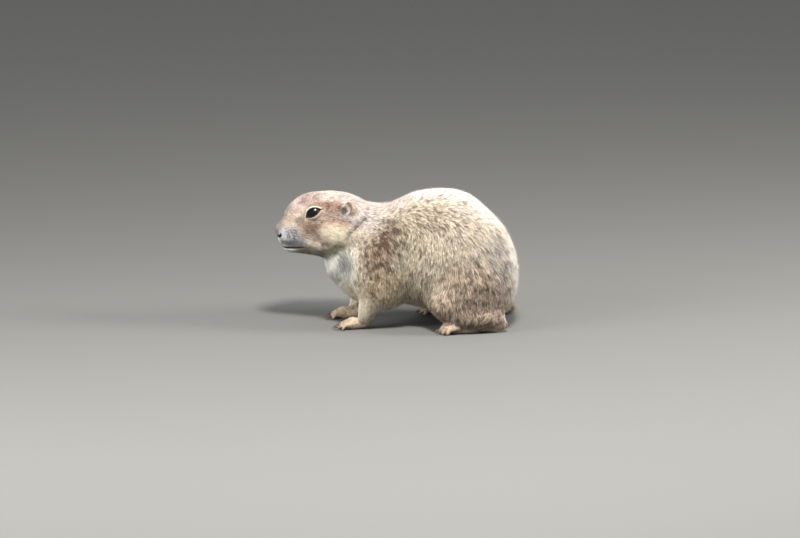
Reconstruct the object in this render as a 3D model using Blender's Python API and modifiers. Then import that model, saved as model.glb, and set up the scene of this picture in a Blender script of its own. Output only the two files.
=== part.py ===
"""A black-tailed prairie dog crouching on all four feet, life size, as a museum would show it.

Metres, +Z up. The animal faces -X, its left side is at -Y, and it stands on the floor at z = 0.
Its fur is short, so each solid reaches out to the surface of the coat.
"""

import math

import bmesh
import bpy
import numpy as np
from mathutils import Matrix, Vector

# Driving dimensions of the crouching animal, coat included.
NOSE_TO_RUMP = 0.205
BACK_HEIGHT = 0.1165
BODY_WIDTH = 0.112
NOSE_X = -0.1062
EYE_DIAMETER = 0.0140
HIND_FOOT_LENGTH = 0.058
FORE_PAW_LENGTH = 0.026
HIND_CLAW_LENGTH = 0.0055
FORE_CLAW_LENGTH = 0.0075

# Neighbouring parts keep this gap between their faces.
GAP = 0.0003

# How finely the body is blended, and how many triangles its two copies keep.
BLEND_VOXEL = 0.0013
BODY_SMOOTHING = 16
COARSE_TRIANGLES = 5300
FINE_TRIANGLES = 8600

LEFT, RIGHT = -1, 1
SIDES = (("left", LEFT), ("right", RIGHT))

# Outline of the trunk: share of the length from the nose, then top and bottom as shares of the back's
# height, and half of the width as a share of half the body's width.
TRUNK = (
    (0.196, 0.480, 0.420, 0.10),
    (0.205, 0.530, 0.380, 0.22),
    (0.227, 0.600, 0.330, 0.36),
    (0.260, 0.675, 0.272, 0.45),
    (0.300, 0.740, 0.205, 0.53),
    (0.348, 0.795, 0.165, 0.60),
    (0.397, 0.845, 0.155, 0.66),
    (0.446, 0.880, 0.158, 0.72),
    (0.480, 0.905, 0.164, 0.76),
    (0.518, 0.932, 0.164, 0.80),
    (0.559, 0.968, 0.150, 0.84),
    (0.622, 0.993, 0.122, 0.88),
    (0.684, 1.000, 0.102, 0.92),
    (0.746, 0.990, 0.090, 0.94),
    (0.775, 0.975, 0.084, 0.94),
    (0.809, 0.946, 0.080, 0.93),
    (0.850, 0.886, 0.076, 0.89),
    (0.892, 0.816, 0.074, 0.81),
    (0.933, 0.739, 0.080, 0.69),
    (0.954, 0.680, 0.092, 0.60),
    (0.971, 0.616, 0.118, 0.49),
    (0.985, 0.542, 0.175, 0.36),
    (0.997, 0.440, 0.270, 0.17),
)

# Outline of the upper head and the neck, in the same shares.
HEAD_AND_NECK = (
    (0.001, 0.722, 0.680, 0.05),
    (0.006, 0.742, 0.636, 0.100),
    (0.014, 0.764, 0.606, 0.145),
    (0.026, 0.802, 0.592, 0.178),
    (0.048, 0.876, 0.588, 0.210),
    (0.069, 0.917, 0.582, 0.240),
    (0.089, 0.945, 0.576, 0.268),
    (0.123, 0.970, 0.566, 0.325),
    (0.164, 0.981, 0.548, 0.388),
    (0.227, 0.986, 0.516, 0.448),
    (0.289, 0.974, 0.484, 0.462),
    (0.318, 0.956, 0.470, 0.470),
    (0.343, 0.937, 0.458, 0.486),
    (0.372, 0.908, 0.440, 0.512),
    (0.402, 0.895, 0.425, 0.545),
    (0.435, 0.892, 0.415, 0.585),
    (0.470, 0.893, 0.420, 0.610),
    (0.505, 0.850, 0.450, 0.560),
    (0.530, 0.750, 0.520, 0.400),
)

# Outline of the lower jaw, in the same shares.
JAW = (
    (0.020, 0.585, 0.568, 0.05),
    (0.030, 0.600, 0.548, 0.110),
    (0.048, 0.615, 0.532, 0.138),
    (0.075, 0.630, 0.527, 0.172),
    (0.110, 0.640, 0.522, 0.212),
    (0.155, 0.645, 0.510, 0.272),
    (0.205, 0.645, 0.497, 0.330),
    (0.255, 0.630, 0.488, 0.360),
    (0.290, 0.580, 0.495, 0.290),
)


def clear_scene():
    for obj in list(bpy.data.objects):
        bpy.data.objects.remove(obj)


def new_collection(name, hidden=False):
    collection = bpy.data.collections.new(name)
    collection.hide_render = hidden
    bpy.context.scene.collection.children.link(collection)
    return collection


def body_point(length_share, width_share, height_share):
    """A point given in shares of the length from the nose, of half the width, and of the height."""
    return Vector((
        NOSE_X + length_share * NOSE_TO_RUMP,
        width_share * BODY_WIDTH / 2,
        height_share * BACK_HEIGHT,
    ))


def smooth_line(places, values, at):
    """A monotone cubic curve through the values, read at the places asked for."""
    places, values = np.asarray(places, float), np.asarray(values, float)
    steps = np.diff(places)
    slopes = np.diff(values) / steps
    tangents = np.zeros_like(values)
    rising = slopes[:-1] * slopes[1:] > 0
    weights = (steps[1:] + 2 * steps[:-1], 2 * steps[1:] + steps[:-1])
    with np.errstate(divide="ignore", invalid="ignore"):
        middle = (weights[0] + weights[1]) / (weights[0] / slopes[:-1] + weights[1] / slopes[1:])
    tangents[1:-1] = np.where(rising, middle, 0.0)
    tangents[0], tangents[-1] = slopes[0], slopes[-1]
    i = np.clip(np.searchsorted(places, at) - 1, 0, len(steps) - 1)
    h, t = steps[i], (at - places[i]) / steps[i]
    return (
        (2 * t**3 - 3 * t**2 + 1) * values[i]
        + (t**3 - 2 * t**2 + t) * h * tangents[i]
        + (3 * t**2 - 2 * t**3) * values[i + 1]
        + (t**3 - t**2) * h * tangents[i + 1]
    )


def link_mesh(name, mesh, collection):
    obj = bpy.data.objects.new(name, mesh)
    collection.objects.link(obj)
    return obj


def loft(name, rings, collection):
    """A closed skin over rings of points, each ring with the same number of points in the same order."""
    count = len(rings[0])
    points = [tuple(p) for ring in rings for p in ring]
    faces = []
    for r in range(len(rings) - 1):
        for k in range(count):
            a, b = r * count + k, r * count + (k + 1) % count
            faces.append((a, b, b + count, a + count))
    last = (len(rings) - 1) * count
    faces.append(tuple(reversed(range(count))))
    faces.append(tuple(last + k for k in range(count)))
    mesh = bpy.data.meshes.new(name)
    mesh.from_pydata(points, [], faces)
    face_outwards(mesh)
    return link_mesh(name, mesh, collection)


def face_outwards(mesh):
    work = bmesh.new()
    work.from_mesh(mesh)
    bmesh.ops.recalc_face_normals(work, faces=work.faces)
    work.to_mesh(mesh)
    work.free()


def outline_loft(name, table, widest, fullness, stations, sides, collection):
    """Upright sections through an outline table. widest is the share of a section's height where it is
    broadest, and fullness above 2 squares its sides."""
    table = np.array(table)
    # Stations crowd towards both ends, where the outline turns in.
    spread = (1 - np.cos(np.linspace(0, math.pi, stations))) / 2
    at = table[0, 0] + spread * (table[-1, 0] - table[0, 0])
    top, bottom, half = (smooth_line(table[:, 0], table[:, k], at) for k in (1, 2, 3))
    angles = np.linspace(0, 2 * math.pi, sides, endpoint=False)
    across = np.sign(np.cos(angles)) * np.abs(np.cos(angles)) ** (2 / fullness)
    upward = np.sign(np.sin(angles)) * np.abs(np.sin(angles)) ** (2 / fullness)
    rings = []
    for s, t, b, w in zip(at, top, bottom, half):
        middle = b + widest * (t - b)
        heights = middle + np.where(upward > 0, t - middle, middle - b) * upward
        rings.append([body_point(s, w * a, h) for a, h in zip(across, heights)])
    return loft(name, rings, collection)


def ellipsoid(name, centre, radii, collection, turn=(0.0, 0.0, 0.0), segments=32):
    """radii along X, Y and Z, then turned by degrees about X, Y and Z."""
    work = bmesh.new()
    bmesh.ops.create_uvsphere(work, u_segments=segments, v_segments=segments // 2, radius=1.0)
    turned = Matrix.Identity(4)
    for angle, axis in zip(turn, "XYZ"):
        turned = Matrix.Rotation(math.radians(angle), 4, axis) @ turned
    work.transform(Matrix.Translation(centre) @ turned @ Matrix.Diagonal((*radii, 1.0)))
    mesh = bpy.data.meshes.new(name)
    work.to_mesh(mesh)
    work.free()
    return link_mesh(name, mesh, collection)


LIMB_DOME = (0.35, 0.75)
TOE_DOME = (0.62,)


def limb(name, stations, collection, rings=14, sides=16, flatten=1.0, near=LIMB_DOME, far=LIMB_DOME):
    """A round limb along a curve through (point, radius) stations. flatten scales its height. near and
    far list the rings of the dome on each end, as shares of its radius, or are empty for a flat end."""
    points = np.array([s[0] for s in stations], float)
    radii = np.array([s[1] for s in stations], float)
    along = np.concatenate([[0], np.cumsum(np.linalg.norm(np.diff(points, axis=0), axis=1))])
    at = np.linspace(0, along[-1], rings)
    line = np.stack([smooth_line(along, points[:, k], at) for k in range(3)], axis=1)
    radius = smooth_line(along, radii, at)
    heads = np.gradient(line, axis=0)
    made = []
    angles = np.linspace(0, 2 * math.pi, sides, endpoint=False)

    def ring(centre, direction, size):
        forward = Vector(direction).normalized()
        side = forward.cross(Vector((0, 0, 1)))
        if side.length < 1e-3:
            side = Vector((0, 1, 0))
        side.normalize()
        up = side.cross(forward)
        return [
            Vector(centre) + side * (math.cos(a) * size) + up * (math.sin(a) * size * flatten)
            for a in angles
        ]

    for share in near:
        back = Vector(heads[0]).normalized() * radius[0] * math.sqrt(1 - share**2)
        made.append(ring(Vector(line[0]) - back, heads[0], radius[0] * share))
    for centre, direction, size in zip(line, heads, radius):
        made.append(ring(centre, direction, size))
    for share in reversed(far):
        on = Vector(heads[-1]).normalized() * radius[-1] * math.sqrt(1 - share**2)
        made.append(ring(Vector(line[-1]) + on, heads[-1], radius[-1] * share))
    return loft(name, made, collection)


def evaluated_mesh(obj):
    graph = bpy.context.evaluated_depsgraph_get()
    return bpy.data.meshes.new_from_object(obj.evaluated_get(graph))


def apply_modifiers(obj):
    mesh = evaluated_mesh(obj)
    obj.modifiers.clear()
    obj.data = mesh
    return obj


def join_forms(name, forms, collection):
    """One mesh holding every form. The blend afterwards fuses where they overlap."""
    work = bmesh.new()
    for form in forms:
        work.from_mesh(form.data)
    mesh = bpy.data.meshes.new(name)
    work.to_mesh(mesh)
    work.free()
    for form in forms:
        bpy.data.objects.remove(form)
    return link_mesh(name, mesh, collection)


def blend(obj, voxel, smoothing):
    remesh = obj.modifiers.new("blend", "REMESH")
    remesh.mode = "VOXEL"
    remesh.voxel_size = voxel
    smooth = obj.modifiers.new("smooth", "SMOOTH")
    smooth.factor = 0.5
    smooth.iterations = smoothing
    apply_modifiers(obj)
    return largest_surface(obj)


def reduced_copy(obj, name, triangles, collection):
    copy = link_mesh(name, obj.data.copy(), collection)
    triangulate = copy.modifiers.new("triangles", "TRIANGULATE")
    triangulate.quad_method = "BEAUTY"
    apply_modifiers(copy)
    decimate = copy.modifiers.new("reduce", "DECIMATE")
    decimate.ratio = triangles / len(copy.data.polygons)
    return apply_modifiers(copy)


def largest_surface(obj):
    """Keeps the closed surface with the most volume, and drops scraps and sealed hollows."""
    work = bmesh.new()
    work.from_mesh(obj.data)
    work.verts.ensure_lookup_table()
    seen, islands = set(), []
    for start in work.verts:
        if start.index in seen:
            continue
        stack, island = [start], []
        seen.add(start.index)
        while stack:
            vert = stack.pop()
            island.append(vert)
            for edge in vert.link_edges:
                other = edge.other_vert(vert)
                if other.index not in seen:
                    seen.add(other.index)
                    stack.append(other)
        islands.append(island)

    def size(island):
        corners = np.array([v.co for v in island])
        return np.prod(corners.max(axis=0) - corners.min(axis=0))

    islands.sort(key=size, reverse=True)
    for island in islands[1:]:
        bmesh.ops.delete(work, geom=island, context="VERTS")
    work.to_mesh(obj.data)
    work.free()
    return obj


def boolean(obj, other, operation, solver="EXACT"):
    modifier = obj.modifiers.new("cut", "BOOLEAN")
    modifier.operation = operation
    modifier.solver = solver
    modifier.object = other
    return apply_modifiers(obj)


def fuse(name, pieces, collection, solver="EXACT"):
    """One closed body out of overlapping closed pieces."""
    first, rest = pieces[0], pieces[1:]
    others = bpy.data.collections.new(name + "_pieces")
    for piece in rest:
        others.objects.link(piece)
    modifier = first.modifiers.new("fuse", "BOOLEAN")
    modifier.operation = "UNION"
    modifier.operand_type = "COLLECTION"
    modifier.collection = others
    modifier.solver = solver
    apply_modifiers(first)
    for piece in rest:
        bpy.data.objects.remove(piece)
    bpy.data.collections.remove(others)
    first.name = name
    return largest_surface(first)


def half_space(name, point, normal, collection, size=0.5):
    """A large block whose face passes through the point, on the side that the normal points to."""
    work = bmesh.new()
    bmesh.ops.create_cube(work, size=size)
    turn = Vector((0, 0, 1)).rotation_difference(Vector(normal)).to_matrix().to_4x4()
    centre = Vector(point) + Vector(normal).normalized() * size / 2
    work.transform(Matrix.Translation(centre) @ turn)
    mesh = bpy.data.meshes.new(name)
    work.to_mesh(mesh)
    work.free()
    return link_mesh(name, mesh, collection)


def two_sides(name, point, ahead):
    """The blocks behind and ahead of a cut, with the gap between them."""
    behind = half_space(name + "_behind", point, -ahead, HELPERS)
    return behind, half_space(name + "_ahead", point + ahead * GAP, ahead, HELPERS)


def below_floor(height=0.0):
    """The block under the floor, or under the height given."""
    return half_space("floor", (0, 0, height), (0, 0, -1), HELPERS)


def grown_copy(obj, by, collection):
    """The same solid with its surface moved out along the normals."""
    copy = link_mesh(obj.name + "_grown", obj.data.copy(), collection)
    modifier = copy.modifiers.new("grow", "DISPLACE")
    modifier.mid_level = 0.0
    modifier.strength = by
    return apply_modifiers(copy)


def cut_away(obj, cutter, grow=GAP):
    """Takes the cutter, grown by the gap, out of the object."""
    taken = grown_copy(cutter, grow, HELPERS) if grow else cutter
    boolean(obj, taken, "DIFFERENCE")
    if grow:
        bpy.data.objects.remove(taken)
    return obj


def part_off(body, cutter, name, collection):
    """The share of the body that lies inside the cutter, as an object of its own."""
    piece = link_mesh(name, body.data.copy(), collection)
    boolean(piece, cutter, "INTERSECT")
    return largest_surface(piece)


def surface_hit(obj, start, direction):
    """Where a line from outside first meets the object, and the surface's direction there."""
    found, place, normal, _ = obj.ray_cast(Vector(start), Vector(direction).normalized())
    if not found:
        raise RuntimeError("nothing in the way of the line from %s" % (start,))
    return place, normal


# Round masses of the head and trunk: name, centre in shares, radii in metres, tilt about Y in degrees.
# Each is made on both sides.
MASSES = (
    ("nose_tip", (0.020, 0.020, 0.690), (0.0050, 0.0036, 0.0044), 20),
    ("whisker_pad", (0.062, 0.118, 0.668), (0.0098, 0.0070, 0.0082), 10),
    ("mouth_corner", (0.122, 0.168, 0.642), (0.0125, 0.0066, 0.0082), 10),
    ("cheek", (0.255, 0.320, 0.700), (0.0200, 0.0095, 0.0165), 12),
    ("jowl", (0.205, 0.235, 0.600), (0.0180, 0.0085, 0.0110), 8),
    ("orbit", (0.158, 0.262, 0.862), (0.0135, 0.0080, 0.0108), -22),
    ("brow", (0.165, 0.215, 0.900), (0.0150, 0.0085, 0.0070), -14),
    ("shoulder", (0.455, 0.500, 0.450), (0.0300, 0.0205, 0.0360), 18),
    ("thigh", (0.790, 0.560, 0.330), (0.0390, 0.0250, 0.0370), -12),
    ("rump", (0.895, 0.300, 0.400), (0.0195, 0.0300, 0.0340), 0),
)

# How far each front foot stands ahead of the place given for it.
FORE_STEP = {"left": 0.0, "right": 0.008}
HIND_STEP = {"left": 0.0, "right": 0.016}

FORE_FOOT = Vector((-0.0390, 0.0240, 0.0))
HIND_FOOT = Vector((0.0840, 0.0400, 0.0))


def mirrored(point, side):
    return Vector((point[0], point[1] * side, point[2]))


def body_forms(collection):
    """The masses that blend into one body: trunk, neck and head, shoulders, haunches and legs."""
    forms = [
        outline_loft("trunk", TRUNK, 0.47, 2.15, 60, 56, collection),
        outline_loft("skull", HEAD_AND_NECK, 0.46, 2.15, 70, 48, collection),
        outline_loft("jaw", JAW, 0.55, 2.2, 30, 32, collection),
    ]
    for name, place, radii, tilt in MASSES:
        for _, side in SIDES:
            centre = body_point(place[0], place[1] * side, place[2])
            forms.append(ellipsoid(name, centre, radii, collection, (0, tilt, 0)))
    for name, side in SIDES:
        forms += foreleg_forms(side, FORE_STEP[name], collection)
        forms += hindleg_forms(side, HIND_STEP[name], collection)
    return forms


def foreleg_forms(side, step, collection):
    ahead = Vector((-step, 0, 0))
    shoulder = mirrored((-0.0110, 0.0290, 0.0560), side)
    elbow = mirrored((-0.0150, 0.0330, 0.0340), side) + ahead * 0.4
    forearm = mirrored((-0.0270, 0.0300, 0.0220), side) + ahead * 0.8
    wrist = mirrored((FORE_FOOT.x + 0.0080, 0.0262, 0.0095), side) + ahead
    return [
        limb("upper_arm", [(shoulder, 0.0190), (elbow, 0.0130)], collection),
        limb("forearm", [(elbow, 0.0122), (forearm, 0.0096), (wrist, 0.0068)], collection),
    ]


def hindleg_forms(side, step, collection):
    ahead = Vector((-step, 0, 0))
    knee = mirrored((0.0370, 0.0460, 0.0250), side) + ahead
    shin = mirrored((0.0560, 0.0455, 0.0160), side) + ahead
    heel = mirrored((HIND_FOOT.x - 0.0060, 0.0400, 0.0125), side) + ahead
    hip = mirrored((0.0640, 0.0370, 0.0420), side)
    return [
        limb("upper_leg", [(hip, 0.0200), (knee, 0.0135)], collection),
        limb("shin", [(knee, 0.0130), (shin, 0.0125), (heel, 0.0098)], collection),
    ]


def toe_and_claw(name, root, heading, toe, claw, radius, grow, collection):
    """A toe bent down at its tip, and a curved, pointed claw that reaches the floor ahead of it."""
    ahead = Vector((-math.cos(heading), math.sin(heading), 0))
    up = Vector((0, 0, 1))
    knuckle = root + ahead * toe * 0.55 + up * radius * 0.25
    tip = root + ahead * toe
    tip.z = radius * 0.85
    middle = tip + ahead * claw * 0.5 + up * radius * 0.25
    point = tip + ahead * claw
    point.z = 0.0007
    back = root - ahead * radius * 1.2
    toe_line = [(back, radius), (knuckle, radius * 1.08), (tip, radius * 0.86)]
    claw_line = [(tip - ahead * radius * 0.5, radius * 0.46), (middle, radius * 0.36), (point, 0.00016)]
    toe_line = [(place, size + grow) for place, size in toe_line]
    claw_line = [(place, size + grow) for place, size in claw_line]
    return [
        limb(name, toe_line, collection, 5, 7, near=(), far=TOE_DOME),
        limb(name + "_claw", claw_line, collection, 4, 5, near=(), far=()),
    ]


def foot(name, heel, heading, size, toes, claw, grow, collection):
    """A foot with its toes fanned out from the front of the sole, grown all round by the amount given.

    size is its length without the toes' ends, its width and its thickness. toes lists, from the inner
    side to the outer one: share of the width, toe length, fan angle.
    """
    length, width, thickness = size
    side = LEFT if heel.y < 0 else RIGHT
    turned = math.radians(heading) * side
    ahead = Vector((-math.cos(turned), math.sin(turned), 0))
    across = Vector((0, side, 0)) - ahead * ahead.y * side
    across.normalize()
    flatten = thickness / width * 1.35
    sole = []
    for share, radius, rise in SOLE:
        centre = heel + ahead * length * share
        centre.z = thickness * rise
        sole.append((centre, width / 2 * radius + grow / flatten))
    pieces = [limb(name, sole, collection, 8, 10, flatten=flatten)]
    for n, (share, toe, fan) in enumerate(toes):
        root = heel + ahead * length * 0.80 + across * width * share
        root.z = thickness * 0.40
        spread = turned + math.radians(fan) * side
        pieces += toe_and_claw(
            "%s_toe_%d" % (name, n), root, spread, toe, claw, width * 0.145, grow, collection,
        )
    return fuse(name, pieces, collection)


# Along a sole from heel to toes: share of its length, radius as a share of half the width, and height
# of the middle as a share of the thickness.
SOLE = ((0.0, 0.62, 0.55), (0.3, 0.60, 0.48), (0.62, 0.78, 0.46), (0.8, 0.66, 0.40))

FORE_TOES = ((-0.36, 0.0052, -16), (-0.13, 0.0066, -5), (0.12, 0.0066, 5), (0.36, 0.0054, 17))
HIND_TOES = (
    (-0.38, 0.0078, -15), (-0.20, 0.0108, -6), (0.0, 0.0118, 0), (0.20, 0.0106, 7), (0.38, 0.0076, 17),
)


FORE_PAW = (FORE_PAW_LENGTH * 0.72, 0.0155, 0.0110)
HIND_PAW = (HIND_FOOT_LENGTH * 0.86, 0.0185, 0.0130)


def make_feet(collection):
    """All four feet with flat soles, and the room that the legs leave for each."""
    rooms = []
    for name, side in SIDES:
        wrist = mirrored(FORE_FOOT, side) + Vector((0.0085 - FORE_STEP[name], 0, 0))
        heel = mirrored(HIND_FOOT, side) + Vector((-HIND_STEP[name], 0, 0))
        for kind, place, heading, size, toes, claw in (
            ("forepaw_", wrist, 4, FORE_PAW, FORE_TOES, FORE_CLAW_LENGTH),
            ("hindfoot_", heel, 7, HIND_PAW, HIND_TOES, HIND_CLAW_LENGTH),
        ):
            made = foot(kind + name, place, heading, size, toes, claw, 0, collection)
            boolean(made, below_floor(), "DIFFERENCE")
            largest_surface(made)
            rooms.append(foot("room", place, heading, size, toes, claw, GAP * 1.3, HELPERS))
    return rooms


# The tail leaves the rump low down and curls round to the far side along the floor: place, half width.
TAIL_LINE = (
    (Vector((0.0780, 0.0020, 0.0240)), 0.0085),
    (Vector((0.0855, 0.0120, 0.0150)), 0.0092),
    (Vector((0.0875, 0.0280, 0.0096)), 0.0098),
    (Vector((0.0860, 0.0430, 0.0078)), 0.0108),
    (Vector((0.0790, 0.0580, 0.0074)), 0.0118),
    (Vector((0.0670, 0.0680, 0.0070)), 0.0112),
    (Vector((0.0530, 0.0730, 0.0058)), 0.0076),
    (Vector((0.0440, 0.0745, 0.0040)), 0.0022),
)
TAIL_FLATTEN = 0.66


def make_tail(collection):
    tail = limb("tail", TAIL_LINE, collection, 18, 14, flatten=TAIL_FLATTEN)
    return boolean(tail, below_floor(), "DIFFERENCE")


EYE_PLACE = (0.1555, 0.276, 0.862)
EYE_LOOK = (-0.26, 0.94, 0.20)
EYE_SEGMENTS = 18
EYE_OPENING = (0.0058, 0.0037)
EYE_TILT = 24
LID_THICKNESS = 0.0010


def eye_centre(side):
    return body_point(EYE_PLACE[0], EYE_PLACE[1] * side, EYE_PLACE[2])


def eye_axes(side):
    """Out of the head, along the eye towards its front corner, and up across it."""
    out = mirrored(EYE_LOOK, side).normalized()
    level = Vector((-1, 0, 0)) - out * Vector((-1, 0, 0)).dot(out)
    level.normalize()
    upright = out.cross(level) * side
    upright.normalize()
    if upright.z < 0:
        upright = -upright
    tilt = math.radians(EYE_TILT)
    along = level * math.cos(tilt) - upright * math.sin(tilt)
    up = level * math.sin(tilt) + upright * math.cos(tilt)
    return out, along, up


def eye_opening_cutter(side, collection):
    """An almond, pointed at both corners and wider on the outside."""
    out, along, up = eye_axes(side)
    centre = eye_centre(side)
    rings = []
    for reach, flare in ((0.40, 0.96), (1.0, 1.02), (1.7, 1.35)):
        ring = []
        for angle in np.linspace(0, 2 * math.pi, 20, endpoint=False):
            a = math.cos(angle) * EYE_OPENING[0]
            b = math.sin(angle) * abs(math.sin(angle)) ** 0.25 * EYE_OPENING[1]
            ring.append(centre + out * EYE_DIAMETER / 2 * reach + (along * a + up * b) * flare)
        rings.append(ring)
    return loft("eye_opening", rings, collection)


def add_eyes(head, collection):
    eyes = []
    for name, side in SIDES:
        centre = eye_centre(side)
        radius = EYE_DIAMETER / 2
        lids = ellipsoid("lids", centre, [radius + LID_THICKNESS] * 3, collection, segments=EYE_SEGMENTS)
        boolean(head, lids, "UNION")
        bpy.data.objects.remove(lids)
        socket = ellipsoid("socket", centre, [radius + GAP] * 3, collection, segments=EYE_SEGMENTS)
        boolean(head, socket, "DIFFERENCE")
        bpy.data.objects.remove(socket)
        opening = eye_opening_cutter(side, collection)
        boolean(head, opening, "DIFFERENCE")
        bpy.data.objects.remove(opening)
        eyes.append(ellipsoid("eye_" + name, centre, [radius] * 3, PARTS, segments=EYE_SEGMENTS))
    return eyes


MOUTH_HEIGHT = 0.0676
MOUTH_RISE = 0.0016
MOUTH_HALF_ANGLE = 88
MOUTH_CENTRE_X = -0.0815
MOUTH_DEPTH = 0.0016
MOUTH_GAP = 0.0006


def mouth_cutter(head, collection):
    """A thin blade along the line between the lips, from one corner round the front to the other."""
    rings = []
    for turn in np.linspace(-MOUTH_HALF_ANGLE, MOUTH_HALF_ANGLE, 19):
        angle = math.radians(turn)
        outward = Vector((-math.cos(angle), math.sin(angle), 0))
        share = abs(turn) / MOUTH_HALF_ANGLE
        centre = Vector((MOUTH_CENTRE_X, 0, MOUTH_HEIGHT + MOUTH_RISE * share**2))
        place, _ = surface_hit(head, centre + outward * 0.06, -outward)
        fade = max(0.12, math.sqrt(max(0.0, 1 - share**4)))
        up = Vector((0, 0, 1))
        ring = []
        for corner in np.linspace(0, 2 * math.pi, 8, endpoint=False):
            ring.append(
                place + outward * math.cos(corner) * MOUTH_DEPTH * fade
                + up * math.sin(corner) * MOUTH_GAP / 2 * fade
            )
        rings.append(ring)
    return loft("mouth", rings, collection)


NOSE_CENTRE_HEIGHT = 0.0806
NOSE_RADII = (0.0028, 0.0040, 0.0034)
NOSE_SUNK = 0.0016
NOSTRIL_RADII = (0.0013, 0.0007, 0.0011)


def make_nose(head, collection):
    """A small bare pad on the tip of the muzzle, with a nostril sunk into each side."""
    place, _ = surface_hit(head, (-0.2, 0, NOSE_CENTRE_HEIGHT), (1, 0, 0))
    centre = place + Vector((NOSE_SUNK, 0, 0))
    nose = ellipsoid("nose", centre, NOSE_RADII, PARTS, (0, -12, 0), 18)
    cut_away(nose, head)
    for _, side in SIDES:
        start = (-0.2, side * 0.0024, NOSE_CENTRE_HEIGHT - 0.0004)
        place, _ = surface_hit(nose, start, (1, 0, 0))
        nostril = ellipsoid("nostril", place, NOSTRIL_RADII, collection, (side * 30, 20, 0), 10)
        boolean(nose, nostril, "DIFFERENCE")
        bpy.data.objects.remove(nostril)
    return largest_surface(nose)


EAR_PLACE = (-0.0440, 0.1018)
EAR_RADII = (0.0062, 0.0044, 0.0064)
EAR_WALL = 0.0012


def make_ears(head, collection):
    """Low, rounded cups that open outwards and forwards."""
    ears = []
    for name, side in SIDES:
        x, z = EAR_PLACE
        place, normal = surface_hit(head, (x, side * 0.2, z), (0, -side, 0))
        out = (normal + Vector((0, 0, 0.25))).normalized()
        turn = (12 * -side, -24, 14 * side)
        ear = ellipsoid("ear_" + name, place + out * 0.0012, EAR_RADII, PARTS, turn, 16)
        hollow_radii = [r - EAR_WALL for r in EAR_RADII]
        open_way = out * 0.0026 + Vector((-0.0030, 0, -0.0008))
        hollow = ellipsoid("hollow", place + out * 0.0012 + open_way, hollow_radii, collection, turn, 14)
        boolean(ear, hollow, "DIFFERENCE")
        bpy.data.objects.remove(hollow)
        cut_away(ear, head)
        ears.append(largest_surface(ear))
    return ears


# The black end of the tail starts here, and the cut faces this way.
TAIL_TIP_PLACE = Vector((0.0690, 0.0665, 0.007))
TAIL_TIP_AHEAD = Vector((-0.85, 0.50, 0.0)).normalized()

# Cuts between head and neck and between neck and trunk: a point on each, and how far it leans back.
HEAD_CUT = (Vector((-0.0375, 0, 0.086)), 0.35)
NECK_CUT = (Vector((-0.0060, 0, 0.107)), 0.62)


def cut_normal(lean):
    return Vector((1, 0, -lean)).normalized()


def leg_cutters(collection):
    """Round volumes that hold each leg, with the joint where it meets the trunk."""
    cutters = {}
    for name, side in SIDES:
        fore, hind = FORE_STEP[name], HIND_STEP[name]
        cutters["foreleg_" + name] = limb(
            "foreleg_cut",
            [
                (mirrored((-0.0120 - fore * 0.3, 0.0400, 0.0500), side), 0.0200),
                (mirrored((-0.0190 - fore * 0.5, 0.0360, 0.0280), side), 0.0175),
                (mirrored((-0.0370 - fore, 0.0270, 0.0020), side), 0.0140),
            ],
            collection, 8, 14,
        )
        centre = mirrored((0.0600 - hind * 0.5, 0.0500, 0.0330), side)
        cutters["hindleg_" + name] = ellipsoid(
            "hindleg_cut", centre, (0.0385, 0.0270, 0.0420), collection, (0, -18, 0), 20,
        )
    return cutters


COAT = {
    "head": ((0.50, 0.36, 0.24), 0.85),
    "neck": ((0.52, 0.39, 0.26), 0.85),
    "torso": ((0.50, 0.37, 0.25), 0.88),
    "ear": ((0.42, 0.27, 0.18), 0.80),
    "eye": ((0.012, 0.008, 0.006), 0.12),
    "nose": ((0.06, 0.045, 0.045), 0.45),
    "foreleg": ((0.54, 0.38, 0.26), 0.85),
    "forepaw": ((0.56, 0.41, 0.29), 0.80),
    "hindleg": ((0.47, 0.32, 0.21), 0.85),
    "hindfoot": ((0.56, 0.41, 0.29), 0.80),
    "tail": ((0.42, 0.26, 0.15), 0.88),
    "tail_tip": ((0.03, 0.022, 0.018), 0.88),
}


def paint(obj):
    """Gives a part its plain colour by the first words of its name."""
    kind = next(k for k in sorted(COAT, key=len, reverse=True) if obj.name.startswith(k))
    colour, roughness = COAT[kind]
    material = bpy.data.materials.get(kind) or bpy.data.materials.new(kind)
    material.use_nodes = True
    shader = material.node_tree.nodes["Principled BSDF"]
    shader.inputs["Base Color"].default_value = (*colour, 1.0)
    shader.inputs["Roughness"].default_value = roughness
    shader.inputs["Metallic"].default_value = 0.0
    obj.data.materials.clear()
    obj.data.materials.append(material)


def tidy_mesh(obj):
    """Welds doubled points and drops needle-thin triangles left by the cuts."""
    work = bmesh.new()
    work.from_mesh(obj.data)
    bmesh.ops.remove_doubles(work, verts=work.verts, dist=0.000002)
    bmesh.ops.dissolve_degenerate(work, edges=work.edges, dist=0.000002)
    bmesh.ops.triangulate(work, faces=work.faces)
    work.to_mesh(obj.data)
    work.free()
    largest_surface(obj)
    obj.data.shade_smooth()
    obj.data.set_sharp_from_angle(angle=math.radians(50))


def centre_on_floor(objects):
    """Moves everything so that the origin is under the middle of the whole, at floor level."""
    corners = np.array([v.co for obj in objects for v in obj.data.vertices])
    low, high = corners.min(axis=0), corners.max(axis=0)
    shift = Matrix.Translation((-(low[0] + high[0]) / 2, -(low[1] + high[1]) / 2, -low[2]))
    for obj in objects:
        obj.data.transform(shift)


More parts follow.
